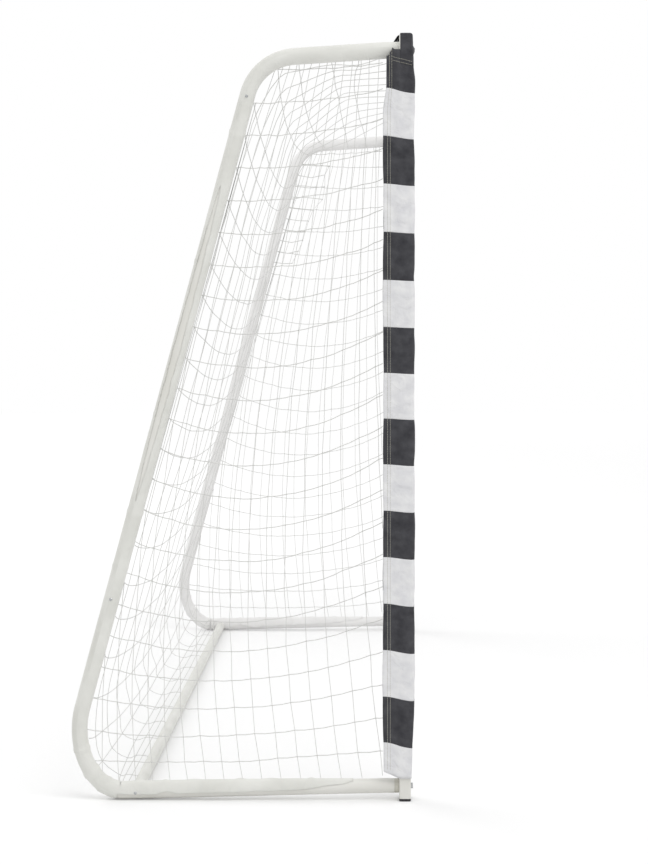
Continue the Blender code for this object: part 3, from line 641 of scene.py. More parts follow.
def hemEdges(point, distance, opening):
    # the cloth's two edges, as angles round the tube
    half = slitGap(point, distance) / hem["radius"]
    start, stop = hem["slitAngle"] - half, hem["slitAngle"] - math.tau + half
    if opening <= 0:
        return start, stop
    covers, wanders, scale = hem["covers"]
    wander = wanders * noise.noise(Vector((distance * scale, 0, 0)))
    back, late = hem["drawnBack"]
    upper = math.acos(1 - 2 * (covers + wander) * (1 - back * opening**late))
    return min(start, upper), max(stop, -upper)


def makeHem(hand, side):
    parts = newParts()
    rings, uvRings = [], []
    openFrom = hemDistance(*hem["opensFrom"])
    total = lengthOf(hemLine)
    for point, way, distance in evenly(hemLine, hem["spacing"]):
        opening = (distance - openFrom) / (total - openFrom)
        edgeFrom, edgeTo = hemEdges(point, distance, opening)
        lifted = 1 - max(0, opening) ** 2
        rings.append(hemRing(point, way, side, distance, edgeFrom, edgeTo, lifted))
        uvRings.append([
            ((edgeFrom + (edgeTo - edgeFrom) * i / hem["around"]) * hem["radius"], distance)
            for i in range(hem["around"] + 1)
        ])
    addRings(parts, rings, uvRings)
    cloth = frameWhites[hand][1]
    piece = meshPiece(f"{hand}Hem", parts, cloth, [f"{hand}_hem"])
    edited(piece, bpy.ops.mesh.remove_doubles, threshold=0.00005)  # where the slit is shut
    outwards(piece)
    applied(piece, "SOLIDIFY", thickness=hem["thickness"], offset=1)


for hand, side in hands.items():
    makeHem(hand, side)
print("hems made")


# Sleeves: banded cloth tubes over the posts and the crossbar, sewn shut in a flap at the rear


sleeve = {
    "ease": 0.0004,  # between the steel and the cloth
    "frontEase": 0.0060,  # the posts' sleeves hang loose in front of the steel
    "barEase": 0.0025,
    "thickness": 0.0010,
    "flap": 0.0416,
    "corner": 0.006,
    "around": 0.004,  # spacing of the mesh round the post, and along the posts and the crossbar
    "step": 0.008,
    "barStep": 0.011,
    "puff": 0.0011,  # how far the cloth swells between the band seams
    "wrinkle": 0.0017,
    "loose": 0.9,
    # fine and broad creases: share, scale across, scale in depth, slant and scale lengthwise
    "creases": ((0.8, 30, 38, 9, 26), (1.1, 12, 15, -5, 9)),
    "fade": 2.5,  # how fast the creases die out on the flap
    "seeds": {"leftPostSleeve": 4, "rightPostSleeve": 19, "crossbarSleeve": 31},
    # how far a flap's edge stays back from its straight line, and how much it wanders
    "drawnIn": {"leftPostSleeve": 0.001, "rightPostSleeve": 0.0058, "crossbarSleeve": 0.001},
    "drift": (0.0035, 5),  # and the scale of that
    "postBottom": 0.060,
    "foot": (0.15, 0.2),  # the share of the front ease left at the foot, and the height it takes
    "flapRise": (0.018, 0.1),  # how far the flap's corner is cut up at the foot, and over what height
    "flapTaper": (0.007, 1.8, 0.06),  # how far it narrows, from what height and over what height
    "postTop": 1.9345,
    "topFrom": 1.90,  # the cut of the top reaches down to here
    "sewnOver": (1.912, 0.03),  # where the crossbar's end is sewn over the cloth
    "shoulder": ((0.022, 1.945), (0.026, 1.957), (0.047, 1.957), (0.0495, 1.9645), (0.0646, 1.940)),
    "barDroop": math.radians(52),
    "barEnd": 1.4395,
}
# the seams between the bands hang forwards on the posts
seams = {
    "across": 0.078,
    "level": 1.3,  # height at which they hang least
    "reach": (1.15, 0.55),  # from there down and up to the ends
    "lean": (0.003, 0.011),
    "lift": (0.008, 1.27, 0.28),  # the bands near the middle ride up
}
stitches = {
    "rows": (0.0536, 0.0607),  # setbacks of the two lines on the flap
    "ends": (0.012, 0.004),  # how far from the sleeve's foot and top they stop
    "length": 0.0034,
    "pitch": 0.0044,
    "thread": 0.0006,
    "taper": 0.4,
}


def roundedLine(points, radius, steps=4):
    # an open line with its inner corners rounded
    line = [points[0]]
    for before, corner, after in zip(points, points[1:], points[2:]):
        back, ahead = (before - corner).normalized(), (after - corner).normalized()
        reach = min(radius, (before - corner).length / 2, (after - corner).length / 2)
        start, end = corner + back * reach, corner + ahead * reach
        for step in range(steps + 1):
            t = step / steps
            line.append(start.lerp(corner, t).lerp(corner.lerp(end, t), t))
    line.append(points[-1])
    return line


def sleeveSection(width, droop, frontEase):
    # across (0 at the outer or upper steel face, inwards negative) and setback
    off = sleeve["ease"] + sleeve["thickness"] / 2
    rear = goal["frameDepth"] + off
    way = Vector((-math.sin(droop), math.cos(droop)))
    layer = sleeve["thickness"] + 0.0002
    root = Vector((off, rear))
    under = Vector((off - layer / math.cos(droop), rear))
    tip = root + way * sleeve["flap"]
    corners = [
        tip,
        root,
        Vector((off, -off - frontEase)),
        Vector((-width - off, -off - frontEase)),
        Vector((-width - off, rear)),
        under,
        under + way * (sleeve["flap"] - layer * math.tan(droop)),
    ]
    line = roundedLine(corners, sleeve["corner"])
    section = evenly(line, sleeve["around"])
    return [(point, Vector((way.y, -way.x))) for point, way, _ in section]


def bandPuff(v, offset):
    share = ((v - offset) / stripes["pitch"]) % 1
    return sleeve["puff"] * math.sin(math.pi * share) ** 0.7


def wrinkle(point, lengthwise, seed):
    # soft creases that run slantwise down the cloth
    loose = sleeve["loose"]
    for share, u, v, slant, w in sleeve["creases"]:
        spot = Vector((point.x * u + seed, point.y * v + lengthwise * slant, lengthwise * w))
        loose += share * noise.noise(spot)
    return sleeve["wrinkle"] * loose


def flatTop(height):
    # the cloth lies flat where the crossbar's end is sewn over it
    edge, run = sleeve["sewnOver"]
    return max(0, min(1, (edge - height) / run))


def flapWaver(name, lengthwise, offset):
    # how far the flap's sewn edge runs from its straight line
    far, scale = sleeve["drift"]
    drift = noise.noise(Vector((sleeve["seeds"][name], 0.5, lengthwise * scale)))
    swell = 0.9 * bandPuff(lengthwise, offset)
    return far * drift + swell - sleeve["drawnIn"][name]


def sleevePiece(name, section, stations, locate, band, calm, offset, material):
    seed = sleeve["seeds"][name]
    parts = newParts()
    rings, uvRings = [], []
    run = [0.0]
    for (a, _), (b, _) in zip(section, section[1:]):
        run.append(run[-1] + (b - a).length)
    for station in stations:
        ring, uvs = [], []
        for (point, normal), distance in zip(section, run):
            far = max(0, point.y - goal["frameDepth"]) / sleeve["flap"]
            off = (max(0, wrinkle(point, station, seed)) + bandPuff(station, offset)) * calm(station)
            moved = point - normal * off * max(0, 1 - sleeve["fade"] * far)
            moved.y += far * flapWaver(name, station, offset)
            ring.append(locate(moved, station))
            uvs.append((distance, band(point, station)))
        rings.append(ring)
        uvRings.append(uvs)
    addRings(parts, rings, uvRings)
    piece = meshPiece(name, parts, material)
    outwards(piece)
    applied(piece, "SOLIDIFY", thickness=sleeve["thickness"], offset=0)
    return piece


def steps(low, high, step):
    count = max(2, round((high - low) / step))
    return [low + (high - low) * i / count for i in range(count + 1)]


def shoulderTop(point):
    # the outer layer reaches up over the top tube's end, the inner layer stops under it
    if point.x < -0.003:
        return sleeve["postTop"]
    return between(sleeve["shoulder"], max(point.y, sleeve["shoulder"][0][0]))


def postPlace(side):
    def locate(point, height):
        back = max(0, point.y - goal["frameDepth"])
        setback = point.y
        low, high, top = sleeve["postBottom"], sleeve["topFrom"], sleeve["postTop"]
        if point.y < 0:
            least, run = sleeve["foot"]
            setback *= least + (1 - least) * min(1, (height - low) / run)
        taper, start, run = sleeve["flapTaper"]
        if height > start:
            setback -= taper * min(1, back / sleeve["flap"]) * min(1, (height - start) / run)
        cut, run = sleeve["flapRise"]
        rise = cut * back / sleeve["flap"] * max(0, 1 - (height - low) / run)
        if height > high:
            rise = (shoulderTop(point) - top) * (height - high) / (top - high)
        return place(side * (goal["halfWidth"] + point.x), setback, height + rise)

    return locate


def postBand(point, height):
    # the place along the bands that shows here
    share = max(0, min(1, (goal["frameDepth"] + sleeve["flap"] - point.y) / seams["across"]))
    swing = share * share * (3 - 2 * share) - 0.5
    away = (height - seams["level"]) / seams["reach"][height > seams["level"]]
    lean = seams["lean"][0] + seams["lean"][1] * away * away
    lift, middle, reach = seams["lift"]
    return height + lean * swing + lift * math.exp(-(((height - middle) / reach) ** 2))


def levelPlace(side):
    def locate(point, height):
        return place(side * (goal["halfWidth"] + point.x), point.y, height)

    return locate


def barBand(point, x):
    return x


def barCalm(x):
    return 1


def barPlace(point, x):
    return place(x, point.y, goal["top"] + point.x)


def addStitches(parts, locate, spots, outside):
    # each stitch is a short raised lozenge of thread along its line
    for a, b in spots:
        start, end = locate(*a), locate(*b)
        way = (end - start).normalized()
        outward = outside - way * outside.dot(way)
        outward.normalize()
        across = way.cross(outward)
        first = len(parts["points"])
        thick, taper = stitches["thread"], stitches["taper"]
        middle = (start + end) / 2
        for base, size in ((start, taper), (middle, 1.0), (end, taper)):
            parts["points"].extend([
                base + across * thick * size,
                base + outward * thick * size,
                base - across * thick * size,
            ])
        for ring in (0, 3):
            for corner in (first + ring, first + ring + 1):
                parts["faces"].append((corner, corner + 1, corner + 4, corner + 3))
                parts["uvs"].extend([(0, 0), (0.001, 0), (0.001, 0.001), (0, 0.001)])


crossbarCap = {
    "bottom": (1.9130, 1.9200),  # the seam with the post's sleeve, at the front and at the rear
    "front": -0.0042,
    "flare": 0.0025,
    "rear": 0.0275,
    "out": 0.0024,
    "seams": (1.9165, 1.9255),  # heights of the two rows of stitches at the post's front
    "seamEnds": (-0.003, 0.0445),
    "slope": 0.25,
    "bulge": 0.0050,  # over the bolt's head
    "bulgeReach": 0.0085,
    "cuts": 9,
    "crumple": (0.0004, 60),  # and its scale
    "flat": (0.066, 0.17),
    "area": 0.0075,
}


def capOut(setback):
    if setback < crossbarCap["rear"]:
        return crossbarCap["out"]
    return sleeve["ease"] + sleeve["thickness"]


def makePostSleeve(hand, side):
    piece = sleevePiece(
        f"{hand}PostSleeve",
        sleeveSection(goal["postWidth"], 0, sleeve["frontEase"]),
        steps(sleeve["postBottom"], sleeve["postTop"], sleeve["step"]),
        postPlace(side),
        postBand,
        flatTop,
        stripes["firstEdge"],
        finishes["polyester_black"],
    )
    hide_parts(f"{hand}_post_sleeve")


def makeSleeveStitches(hand, side):
    # two lines down the flap, and two rows where the crossbar's end is sewn over the post's sleeve
    parts = newParts()
    outside = Vector((side, 0, 0))
    out = sleeve["ease"] + sleeve["thickness"]
    low, high = sleeve["postBottom"] + stitches["ends"][0], sleeve["postTop"] - stitches["ends"][1]
    spots = []
    for setback in stitches["rows"]:
        for height in steps(low, high, stitches["pitch"]):
            point = Vector((out, setback))
            spots.append(((point, height), (point, height + stitches["length"])))
    addStitches(parts, postPlace(side), spots, outside)
    spots = []
    for row in crossbarCap["seams"]:
        for setback in steps(*crossbarCap["seamEnds"], stitches["pitch"]):
            spots.append([
                (Vector((capOut(back) + stitches["thread"], back)), row + crossbarCap["slope"] * back)
                for back in (setback, setback + stitches["length"])
            ])
    addStitches(parts, levelPlace(side), spots, outside)
    meshPiece(f"{hand}SleeveStitches", parts, finishes["thread"])


def makeCrossbarSleeve():
    end = sleeve["barEnd"]
    piece = sleevePiece(
        "crossbarSleeve",
        sleeveSection(goal["postWidth"], sleeve["barDroop"], sleeve["barEase"]),
        steps(-end, end, sleeve["barStep"]),
        barPlace,
        barBand,
        barCalm,
        barOffset,
        crossbarCloth,
    )
    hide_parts("crossbar_sleeve")


def makeCrossbarCap(hand, side):
    off = sleeve["ease"] + sleeve["thickness"] / 2
    inner, outer = sleeve["barEnd"] - 0.001, goal["halfWidth"] + crossbarCap["out"] - off
    low, high = crossbarCap["bottom"][0], goal["top"] + off
    front, rear = crossbarCap["front"], crossbarCap["rear"]
    middle = place(side * (inner + outer) / 2, (front + rear) / 2, (low + high) / 2)
    bpy.ops.object.select_all(action="DESELECT")
    bpy.ops.mesh.primitive_cube_add(size=1, location=middle)
    cap = bpy.context.object
    cap.name = f"{hand}CrossbarCap"
    cap.scale = (outer - inner, rear - front, high - low)
    bpy.ops.object.transform_apply(location=True, rotation=True, scale=True)
    crumple, scale = crossbarCap["crumple"]
    bpy.ops.object.mode_set(mode="EDIT")
    bpy.ops.mesh.select_all(action="DESELECT")
    bpy.ops.object.mode_set(mode="OBJECT")
    for face in cap.data.polygons:
        face.select = face.normal.z < -0.9 or face.normal.y > 0.9 or face.normal.x * side < -0.9
    bpy.ops.object.mode_set(mode="EDIT")
    bpy.ops.mesh.select_mode(type="FACE")
    bpy.ops.mesh.delete(type="FACE")
    bpy.ops.mesh.select_mode(type="EDGE")
    bpy.ops.mesh.select_all(action="SELECT")
    bpy.ops.mesh.region_to_loop()
    bpy.ops.mesh.select_all(action="INVERT")
    bpy.ops.mesh.bevel(offset=sleeve["corner"], segments=4)
    bpy.ops.mesh.select_all(action="SELECT")
    bpy.ops.mesh.subdivide(number_cuts=crossbarCap["cuts"])
    bpy.ops.object.mode_set(mode="OBJECT")
    head = place(side * goal["sidePlane"], front, sideFrame["topHeight"])
    for vert in cap.data.vertices:
        at = vert.co.copy()
        away = (at.xz - head.xz).length / crossbarCap["bulgeReach"]
        if at.y < head.y + 0.002:
            vert.co.y -= crossbarCap["bulge"] * math.exp(-(away**4))
        down = (high - at.z) / (high - low)
        share = (at.y - head.y) / (rear - front)
        vert.co.y -= crossbarCap["flare"] * down * (1 - share)
        vert.co.z += (crossbarCap["bottom"][1] - low) * share * down
        vert.co += vert.normal * crumple * (1 + noise.noise(at * scale))
    layer = cap.data.uv_layers[0]
    for loop in cap.data.loops:
        at = cap.data.vertices[loop.vertex_index].co
        layer.data[loop.index].uv = (at.x + at.y, at.z - sideFrame["topHeight"])
    cap.data.shade_smooth()
    cap.data.materials.append(crossbarCloth)
    applied(cap, "SOLIDIFY", thickness=sleeve["thickness"], offset=0)
    settle(cap)


for hand, side in hands.items():
    makePostSleeve(hand, side)
    makeSleeveStitches(hand, side)
    makeCrossbarCap(hand, side)
makeCrossbarSleeve()
print("sleeves made")


# Ground bar: its hem, sewn to the net


groundBar = {
    "radius": 0.0142,
    "setback": 0.718,
    "height": 0.0197,
    "clear": 0.016,  # of the side hems
    "step": 0.012,
    "around": 24,
    "ease": 0.0006,
    "slack": 0.00042,
    "rumple": (1.4, 12),
}


def makeBarHem():
    half = goal["sidePlane"] - hem["radius"] - groundBar["clear"]
    parts = newParts()
    rings, uvRings = [], []
    for x in steps(-half, half, groundBar["step"]):
        ring, uvs = [], []
        for i in range(groundBar["around"] + 1):
            angle = math.tau * i / groundBar["around"]
            slack = groundBar["slack"] * (1 + tubeNoise(angle, x, groundBar["rumple"]))
            radius = groundBar["radius"] + groundBar["ease"] + slack
            setback = groundBar["setback"] + math.sin(angle) * radius
            ring.append(place(x, setback, groundBar["height"] + math.cos(angle) * radius))
            uvs.append((angle * groundBar["radius"], x))
        rings.append(ring[:-1])
        uvRings.append(uvs)
    addRings(parts, rings, uvRings, closed=True)
    cloth = finishes["polyester_white"]
    piece = meshPiece("groundBarHem", parts, cloth, ["ground_bar_hem"])
    outwards(piece)
    applied(piece, "SOLIDIFY", thickness=hem["thickness"], offset=1)


makeBarHem()
print("ground bar's hem made")


# Nets: knotted twine, one node of the grid for each knot


net = {
    "twine": 0.00115,  # radius
    "pulled": 0.00085,  # where the net's weight draws it thinner
    "sides": 5,
    "knot": 0.0026,
    "uneven": 0.0022,  # how far a knot strays from its even place
    "edge": 0.0206,  # the net's edge lies this far inside the side tubes' line
    "clear": (0.004, 0.003),  # a knot stays this far inside the edge, along its row and all round
    "hang": 0.03,
}
sideNet = {
    "columns": 16,
    # at four heights, the first column's setback and how the next ones follow it
    "heights": (0.089, 0.533, 1.082, 1.775),
    "spreads": (
        (0.0763, 0.0562, -0.00050),
        (0.1182, 0.0558, -0.00075),
        (0.1352, 0.0452, -0.00055),
        (0.1156, 0.0270, -0.00027),
    ),
    "firstColumn": 1.1,  # a height at which this column is inside the net's edges
    "otherColumns": 0.25,
    "outside": (0.0, 1.96),  # heights outside them
    "seed": 11,
    "rearRows": 23,
    "topRow": ((0.348, 1.908), 1.922),
    "rearHeights": (1.8196, 0.0819),  # of the second row, and the step to the next
    "rearBow": (0.011, 12),
    "rearFrom": 0.35,
    "flapSetback": 0.0735,
    "rightForward": 0.005,  # the right-hand net is sewn to the flap this far in front
    "flapHeights": (1.5409, -0.0792, -0.00022),  # of the sixth row and the others' steps from it
    "flapX": 1.4987,
    "turnsOut": 0.125,  # setback from which the net leaves the tubes' plane for the flap
    # how far off these places the right-hand net's rows end, at the flap and at the rear tube
    "rightFlap": ((0, 0.005), (4, 0.0), (9, -0.022), (22, -0.022)),
    "rightRear": ((0, 0.0), (1, 0.050), (2, 0.050), (6, 0.030), (12, 0.026), (16, 0.0), (22, 0.0)),
    "sagStops": (
        *((0, 0.004), (2, 0.012), (4, 0.018), (5, 0.0265), (11, 0.067)),
        *((13, 0.0765), (16, 0.0755), (19, 0.057), (21, 0.034), (22, 0.016)),
    ),
    # meshes too many, folded in beside the right-hand tube below its upper bend
    "spare": {
        "seed": 31,
        "top": 1.866,
        "rows": 10,
        "pitch": 0.0435,
        "reach": ((0, 0.13), (10, 0.07)),  # by row
        "unevenReach": (0.85, 1.1),
        "inside": (0.002, 0.008),  # of the tubes' plane
        "sag": (0.002, 0.012),
        "tip": (-0.004, 0.010),  # how far the loose end lies below its row
        "twine": 0.0014,
    },
}


def quadratic(spread, count):
    return spread[0] + spread[1] * count + spread[2] * count * count


def innerLine():
    # the side line moved into the D
    line = []
    for i, point in enumerate(sideLine):
        way = (sideLine[min(i + 1, len(sideLine) - 1)] - sideLine[max(i - 1, 0)]).normalized()
        line.append(point + Vector((way.y, -way.x)) * net["edge"])
    return line


netEdge = innerLine()


def rearEdge(height):
    # the net's rear edge at a height
    for a, b in zip(netEdge[::-1], netEdge[-2::-1]):
        within = min(a.y, b.y) <= height <= max(a.y, b.y) and a.y != b.y
        if within and max(a.x, b.x) > sideNet["rearFrom"]:
            return a.lerp(b, (height - a.y) / (b.y - a.y))


def rowEnds(row, side=-1):
    # where a row of the side net meets the rear tube and the post's flap
    if row == 0:
        rear, front = sideNet["topRow"]
        return Vector(rear), Vector((sideNet["flapSetback"], front))
    top, step = sideNet["rearHeights"]
    bow, rows = sideNet["rearBow"]
    rear = top - step * (row - 1) - bow * math.sin(math.pi * min(1, (row - 1) / rows))
    front = quadratic(sideNet["flapHeights"], row - 5)
    if side > 0:
        rear += between(sideNet["rightRear"], row)
        front += between(sideNet["rightFlap"], row)
    flap = sideNet["flapSetback"] - (sideNet["rightForward"] if side > 0 else 0)
    return rearEdge(rear), Vector((flap, front))


def rowHeight(row, setback, side):
    rear, front = rowEnds(row, side)
    share = (setback - front.x) / (rear.x - front.x)
    sag = between(sideNet["sagStops"], row)
    return front.y + (rear.y - front.y) * share - sag * 4 * share * (1 - share)


def columnSetback(column, height):
    # the smooth curve through the column's places at the four heights
    total = 0
    for mark, spread in zip(sideNet["heights"], sideNet["spreads"]):
        weight = 1
        for other in sideNet["heights"]:
            if other != mark:
                weight *= (height - other) / (mark - other)
        total += weight * quadratic(spread, column - 1)
    return total


def sideNetKnot(row, column, side):
    # where a row and a column cross, found from a guess in the middle
    height = rowHeight(row, 0.3, side)
    for _ in range(12):
        setback = columnSetback(column, height)
        height = rowHeight(row, setback, side)
    return Vector((setback, height))


def insideEdge(point, margin=0.0):
    # whether a point is inside the side frame's D
    at = nearestDistance(netEdge, point)
    edge, way = along(netEdge, at)
    return (point - edge).dot(Vector((way.y, -way.x))) > margin


def insideNet(point, margin=0.0):
    return point.x > sideNet["flapSetback"] + margin and insideEdge(point, margin)


def columnEnds(column):
    # the column's two ends, on the D's edge or on the post's flap
    ends = []
    start = sideNet["firstColumn"] if column == 0 else sideNet["otherColumns"]
    for outer in sideNet["outside"]:
        inner = start
        for _ in range(30):
            middle = (inner + outer) / 2
            if insideNet(Vector((columnSetback(column, middle), middle))):
                inner = middle
            else:
                outer = middle
        ends.append(Vector((columnSetback(column, inner), inner)))
    return ends


def sideX(side, setback):
    turn = sideNet["turnsOut"]
    share = max(0, min(1, (turn - setback) / (turn - sideNet["flapSetback"])))
    return side * (goal["sidePlane"] + (sideNet["flapX"] - goal["sidePlane"]) * share)


def addTwine(parts, points, radius):
    # one length of twine along its points, with the UV map in metres
    rings, uvRings = [], []
    gone = 0.0
    normal = None
    for i, point in enumerate(points):
        way = (points[min(i + 1, len(points) - 1)] - points[max(i - 1, 0)]).normalized()
        if normal is None:
            normal = way.orthogonal().normalized()
        normal = (normal - way * normal.dot(way)).normalized()
        binormal = way.cross(normal)
        ring = []
        for side in range(net["sides"]):
            angle = math.tau * side / net["sides"]
            ring.append(point + (normal * math.cos(angle) + binormal * math.sin(angle)) * radius)
        if i:
            gone += (point - points[i - 1]).length
        girth = math.tau * radius / net["sides"]
        rings.append(ring)
        uvRings.append([(girth * side, gone) for side in range(net["sides"] + 1)])
    start = len(parts["points"])
    addRings(parts, rings, uvRings, closed=True)
    addCap(parts, start, net["sides"], (0, 0), False)
    addCap(parts, len(parts["points"]) - net["sides"], net["sides"], (0, gone), True)


def addKnot(parts, point, size, turn):
    # a lump of eight faces round the crossing
    start = len(parts["points"])
    spin = Matrix.Rotation(turn, 3, "X") @ Matrix.Rotation(turn * 1.7, 3, "Z")
    axes = [spin @ Vector(axis) for axis in ((1, 0, 0), (0, 1, 0), (0, 0, 0.75))]
    parts["points"].extend([point + axis * size * way for axis in axes for way in (1, -1)])
    for x in (0, 1):
        for y in (2, 3):
            for z in (4, 5):
                face = (start + x, start + y, start + z)
                parts["faces"].append(face if (x + y + z) % 2 == 0 else face[::-1])
                parts["uvs"].extend([(0, 0), (0.002, 0), (0, 0.002)])


def hung(points):
    # a point halfway along each stretch, let down a little so that the twine hangs
    line = [points[0]]
    for a, b in zip(points, points[1:]):
        middle = a.lerp(b, 0.5)
        middle.z -= net["hang"] * (b - a).xy.length
        line.extend((middle, b))
    return line


def addSpareMeshes(parts, side):
    spare = sideNet["spare"]
    rng = random.Random(spare["seed"])
    tips = []
    for row in range(spare["rows"]):
        height = spare["top"] - spare["pitch"] * row
        rear = rearEdge(height)
        reach = between(spare["reach"], row) * rng.uniform(*spare["unevenReach"])
        x = side * (goal["sidePlane"] - rng.uniform(*spare["inside"]))
        middle = place(x, rear.x - reach / 2, height - rng.uniform(*spare["sag"]))
        tips.append(place(x, rear.x - reach, height - rng.uniform(*spare["tip"])))
        points = [place(side * goal["sidePlane"], rear.x, height), middle, tips[-1]]
        addTwine(parts, points, spare["twine"])
        addKnot(parts, tips[-1], net["knot"], rng.uniform(0, math.pi))
    addTwine(parts, tips, net["pulled"])


def makeSideNet(hand, side):
    rng = random.Random(sideNet["seed"] + side)
    parts = newParts()
    knots = {}
    columns = range(sideNet["columns"] + 1)
    for row in range(sideNet["rearRows"]):
        for column in columns:
            at = sideNetKnot(row, column, side)
            rear, _ = rowEnds(row, side)
            stray = [rng.uniform(-1, 1) * net["uneven"] for _ in range(3)]
            if at.x < rear.x - net["clear"][0] and insideNet(at, net["clear"][1]):
                x = sideX(side, at.x) + stray[0]
                knots[row, column] = place(x, at.x + stray[1], at.y + stray[2])
    for row in range(sideNet["rearRows"]):
        rear, front = rowEnds(row, side)
        held = [knots[row, column] for column in columns if (row, column) in knots]
        points = [
            place(side * sideNet["flapX"], front.x, front.y),
            *held,
            place(side * goal["sidePlane"], rear.x, rear.y),
        ]
        addTwine(parts, hung(points), net["twine"])
    for column in columns:
        foot, head = columnEnds(column)
        held = [knots[row, column] for row in range(sideNet["rearRows"]) if (row, column) in knots]
        points = [
            place(sideX(side, head.x), head.x, head.y),
            *held,
            place(sideX(side, foot.x), foot.x, foot.y),
        ]
        addTwine(parts, points, net["pulled"])
    for knot in knots.values():
        addKnot(parts, knot, net["knot"], rng.uniform(0, math.pi))
    if side > 0:
        addSpareMeshes(parts, side)
    meshPiece(f"{hand}Net", parts, finishes["net_twine"], [f"net_{hand}"])


def smoothed(points):
    # two more points in each stretch, on a curve through the knots
    line = [points[0]]
    for i in range(len(points) - 1):
        before = points[max(i - 1, 0)]
        a, b = points[i], points[i + 1]
        after = points[min(i + 2, len(points) - 1)]
        for t in (1 / 3, 2 / 3, 1):
            second = (2 * before - 5 * a + 4 * b - after) * t**2
            third = (3 * a - before - 3 * b + after) * t**3
            line.append(0.5 * (2 * a + (b - before) * t + second + third))
    return line


backNet = {
    "seed": 5,
    "strands": 12,
    "bendRow": 5,  # from here down the lengthwise strands are drawn thinner
    "topSetbacks": (0.136, 0.208, 0.293),
    "sharedRows": 15,  # the strands across that meet the side tubes where the side nets' rows do
    "lowHeights": (0.661, 0.562, 0.473, 0.370, 0.261, 0.154, 0.084),  # and where the others do
    "uneven": 0.0014,
    "inset": 0.0200,  # of the strands' ends from the side tubes' plane
    "flapTip": (0.0625, 1.968),
    # the first lengthwise strand's place on the crossbar's flap and the spacing there, from the left
    "flapPlaces": (0.20, 0.18),
    "gathered": ((0, 1.0), (1, 0.76), (2, 0.23), (3, 0.0), (29, 0.0)),  # how far rows follow them
    # setback and height of the strands across beside the ground bar
    "barStrands": ((0.765, 0.0425), (0.757, 0.0370), (0.742, 0.0365), (0.7273, 0.0337)),
    # how flat each strand's middle hangs: 2 is one even bow, more drops at the ends
    "flatness": ((0, 2.0), (23, 2.0), (24, 2.6), (25, 4.0), (26, 6.0), (29, 6.0)),
    # how far each strand's middle hangs below its ends and behind them
    "sagStops": (
        *((0, 0.0), (1, -0.037), (2, -0.040), (3, 0.026), (4, 0.064), (5, 0.120), (6, 0.112)),
        *((8, 0.098), (18, 0.10), (21, 0.125), (22, 0.13), (23, 0.117), (24, 0.073)),
        *((25, 0.038), (26, 0.0145), (27, 0.001), (28, 0.0), (29, 0.0)),
    ),
    "rearStops": (
        *((0, 0.0), (1, 0.024), (2, 0.008), (3, 0.018), (4, 0.023), (5, 0.004), (7, 0.011)),
        *((9, 0.0), (16, 0.0), (19, 0.02), (22, 0.03), (23, 0.02), (24, -0.008)),
        *((25, 0.0125), (26, 0.025), (27, 0.006), (28, 0.0), (29, 0.0)),
    ),
}


def backRows():
    # each strand across the goal, where it meets the side tubes' hems
    rows = [Vector(backNet["flapTip"])]
    top, corner = sideFrame["topHeight"], sideFrame["cornerHeight"]
    for setback in backNet["topSetbacks"]:
        share = (setback - sideFrame["stub"]) / (sideFrame["cornerSetback"] - sideFrame["stub"])
        rows.append(Vector((setback, top + (corner - top) * share - net["edge"])))
    rows.extend(rowEnds(row)[0] for row in range(backNet["sharedRows"]))
    rows.extend(rearEdge(height) for height in backNet["lowHeights"])
    rows.extend(Vector(at) for at in backNet["barStrands"])
    return rows


def makeBackNet():
    rng = random.Random(backNet["seed"])
    parts = newParts()
    rows = backRows()
    half = goal["sidePlane"]
    strands = backNet["strands"]
    shares = [-1, *[(2 * strand + 1) / strands - 1 for strand in range(strands)], 1]
    lattice = []
    for row, at in enumerate(rows):
        line = []
        gathered = between(backNet["gathered"], row)
        first, spacing = backNet["flapPlaces"]
        for strand, share in enumerate(shares, -1):
            bow = 1 - abs(share) ** between(backNet["flatness"], row)
            setback = at.x + between(backNet["rearStops"], row) * bow
            height = at.y - between(backNet["sagStops"], row) * bow
            stray = [rng.uniform(-1, 1) * backNet["uneven"] for _ in range(3)]
            edge = abs(share) == 1
            if edge or row in (0, len(rows) - 1):
                stray = [0, 0, 0]
            x = half * share + (first + spacing * strand - half - half * share) * gathered
            if edge:
                x = math.copysign(half - backNet["inset"], share)
            line.append(place(x + stray[0], setback + stray[1], height + stray[2]))
        lattice.append(line)
    for line in lattice[1:-1]:
        addTwine(parts, smoothed(line), net["twine"])
    bend = 3 * backNet["bendRow"]
    for strand in range(1, strands + 1):
        points = smoothed([line[strand] for line in lattice])
        addTwine(parts, points[: bend + 1], net["twine"])
        addTwine(parts, points[bend:], net["pulled"])
    for line in lattice[1:-1]:
        for point in line[1:-1]:
            addKnot(parts, point, net["knot"], rng.uniform(0, math.pi))
    nodes = ["net_top", "net_back", "net_floor"]
    meshPiece("backNet", parts, finishes["net_twine"], nodes)


for hand, side in hands.items():
    makeSideNet(hand, side)
makeBackNet()
print("nets made")


# Floor, light and camera


studio = {
    "size": 40,
    "drop": 0.0005,  # of the floor under the feet
    "paper": "#EEEEEE",
    "glow": (0.10, 0.32),  # what the camera sees added to the floor, near the goal and far off
    "glowReach": (2.0, 18.0),
    "world": (0.75, 1.0),  # strength on the object, and as the camera and glossy surfaces see it
    "aim": (0, 0, 0.9),
    "softbox": 8.0,
    "key": ((-6.0, -4.0, 11.0), 500),
    "fill": ((6.0, 8.0, 8.0), 340),
}


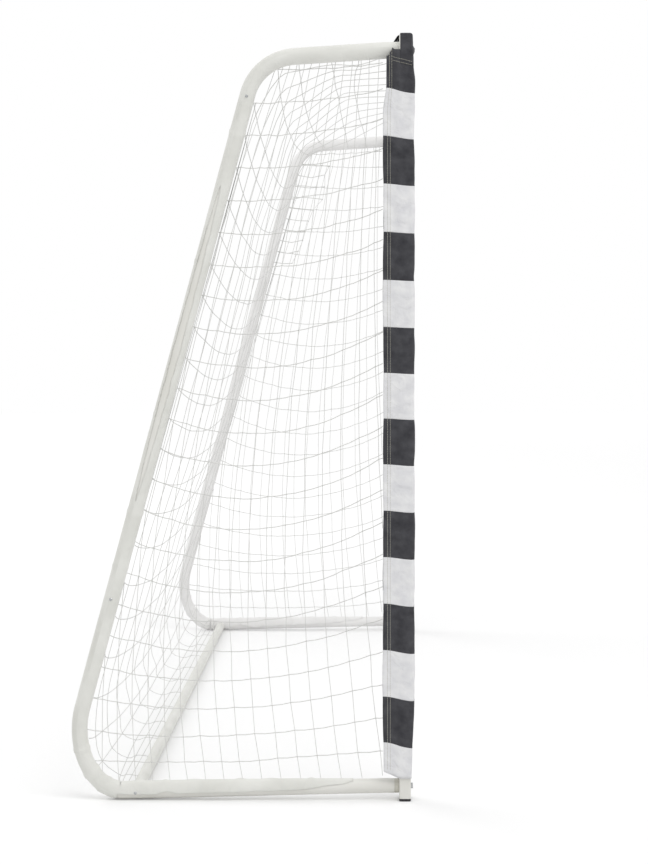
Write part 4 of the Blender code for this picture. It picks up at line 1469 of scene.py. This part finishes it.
def makeFloor():
    # matt studio paper: it shows white to the camera and keeps the soft shadow
    bpy.ops.mesh.primitive_plane_add(size=studio["size"], location=(0, 0, -studio["drop"]))
    floor = bpy.context.object
    floor.name = "studioFloor"
    sockets = {"Roughness": 0.9, "Base Color": fromHex(studio["paper"])}
    made, tree, shader = newMaterial("studioPaper", sockets)
    shader.inputs["Emission Color"].default_value = fromHex("#FFFFFF")
    seen = addNode(tree, "LightPath").outputs["Is Camera Ray"]
    where = addNode(tree, "TexCoord").outputs["Object"]
    away = addNode(tree, "VectorMath", {0: where}, operation="LENGTH")
    near, far = studio["glowReach"]
    low, high = studio["glow"]
    rise = addNode(
        tree,
        "MapRange",
        {
            "Value": away.outputs["Value"],
            "From Min": near,
            "From Max": far,
            "To Min": low,
            "To Max": high,
        },
    )
    glow = addNode(tree, "Math", {0: seen, 1: rise.outputs["Result"]}, operation="MULTIPLY")
    tree.links.new(glow.outputs["Value"], shader.inputs["Emission Strength"])
    floor.data.materials.append(made)


def makeWorld():
    world = bpy.data.worlds.new("studio")
    bpy.context.scene.world = world
    world.use_nodes = True
    tree = world.node_tree
    path = addNode(tree, "LightPath")
    seen = addNode(
        tree,
        "Math",
        {0: path.outputs["Is Camera Ray"], 1: path.outputs["Is Glossy Ray"]},
        operation="MAXIMUM",
    )
    low, high = studio["world"]
    strength = addNode(
        tree, "MapRange", {"Value": seen.outputs["Value"], "To Min": low, "To Max": high}
    )
    background = tree.nodes["Background"]
    background.inputs["Color"].default_value = fromHex("#FFFFFF")
    tree.links.new(strength.outputs["Result"], background.inputs["Strength"])


def addSoftbox(name, location, energy):
    lamp = bpy.data.lights.new(name, "AREA")
    lamp.shape = "SQUARE"
    lamp.size = studio["softbox"]
    lamp.energy = energy
    softbox = newObject(name, lamp)
    softbox.location = location
    way = Vector(studio["aim"]) - Vector(location)
    softbox.rotation_euler = way.to_track_quat("-Z", "Y").to_euler()


view = {
    "place": (-6.98, goal["frontY"] + 0.0790, 1.2706),
    "lens": 87.79,
    "shift": (-0.0654, -0.1377),  # the photograph is framed off the camera's axis
}


def makeCamera():
    lens = bpy.data.cameras.new("camera")
    lens.lens = view["lens"]
    lens.sensor_width = 36
    lens.shift_x, lens.shift_y = view["shift"]
    lens.clip_end = 100
    camera = newObject("camera", lens)
    camera.location = view["place"]
    camera.rotation_euler = (math.radians(90), 0, math.radians(-90))
    bpy.context.scene.camera = camera


makeFloor()
makeWorld()
addSoftbox("keySoftbox", *studio["key"])
addSoftbox("fillSoftbox", *studio["fill"])
makeCamera()
bpy.context.scene.view_settings.view_transform = "Standard"
print("scene ready")
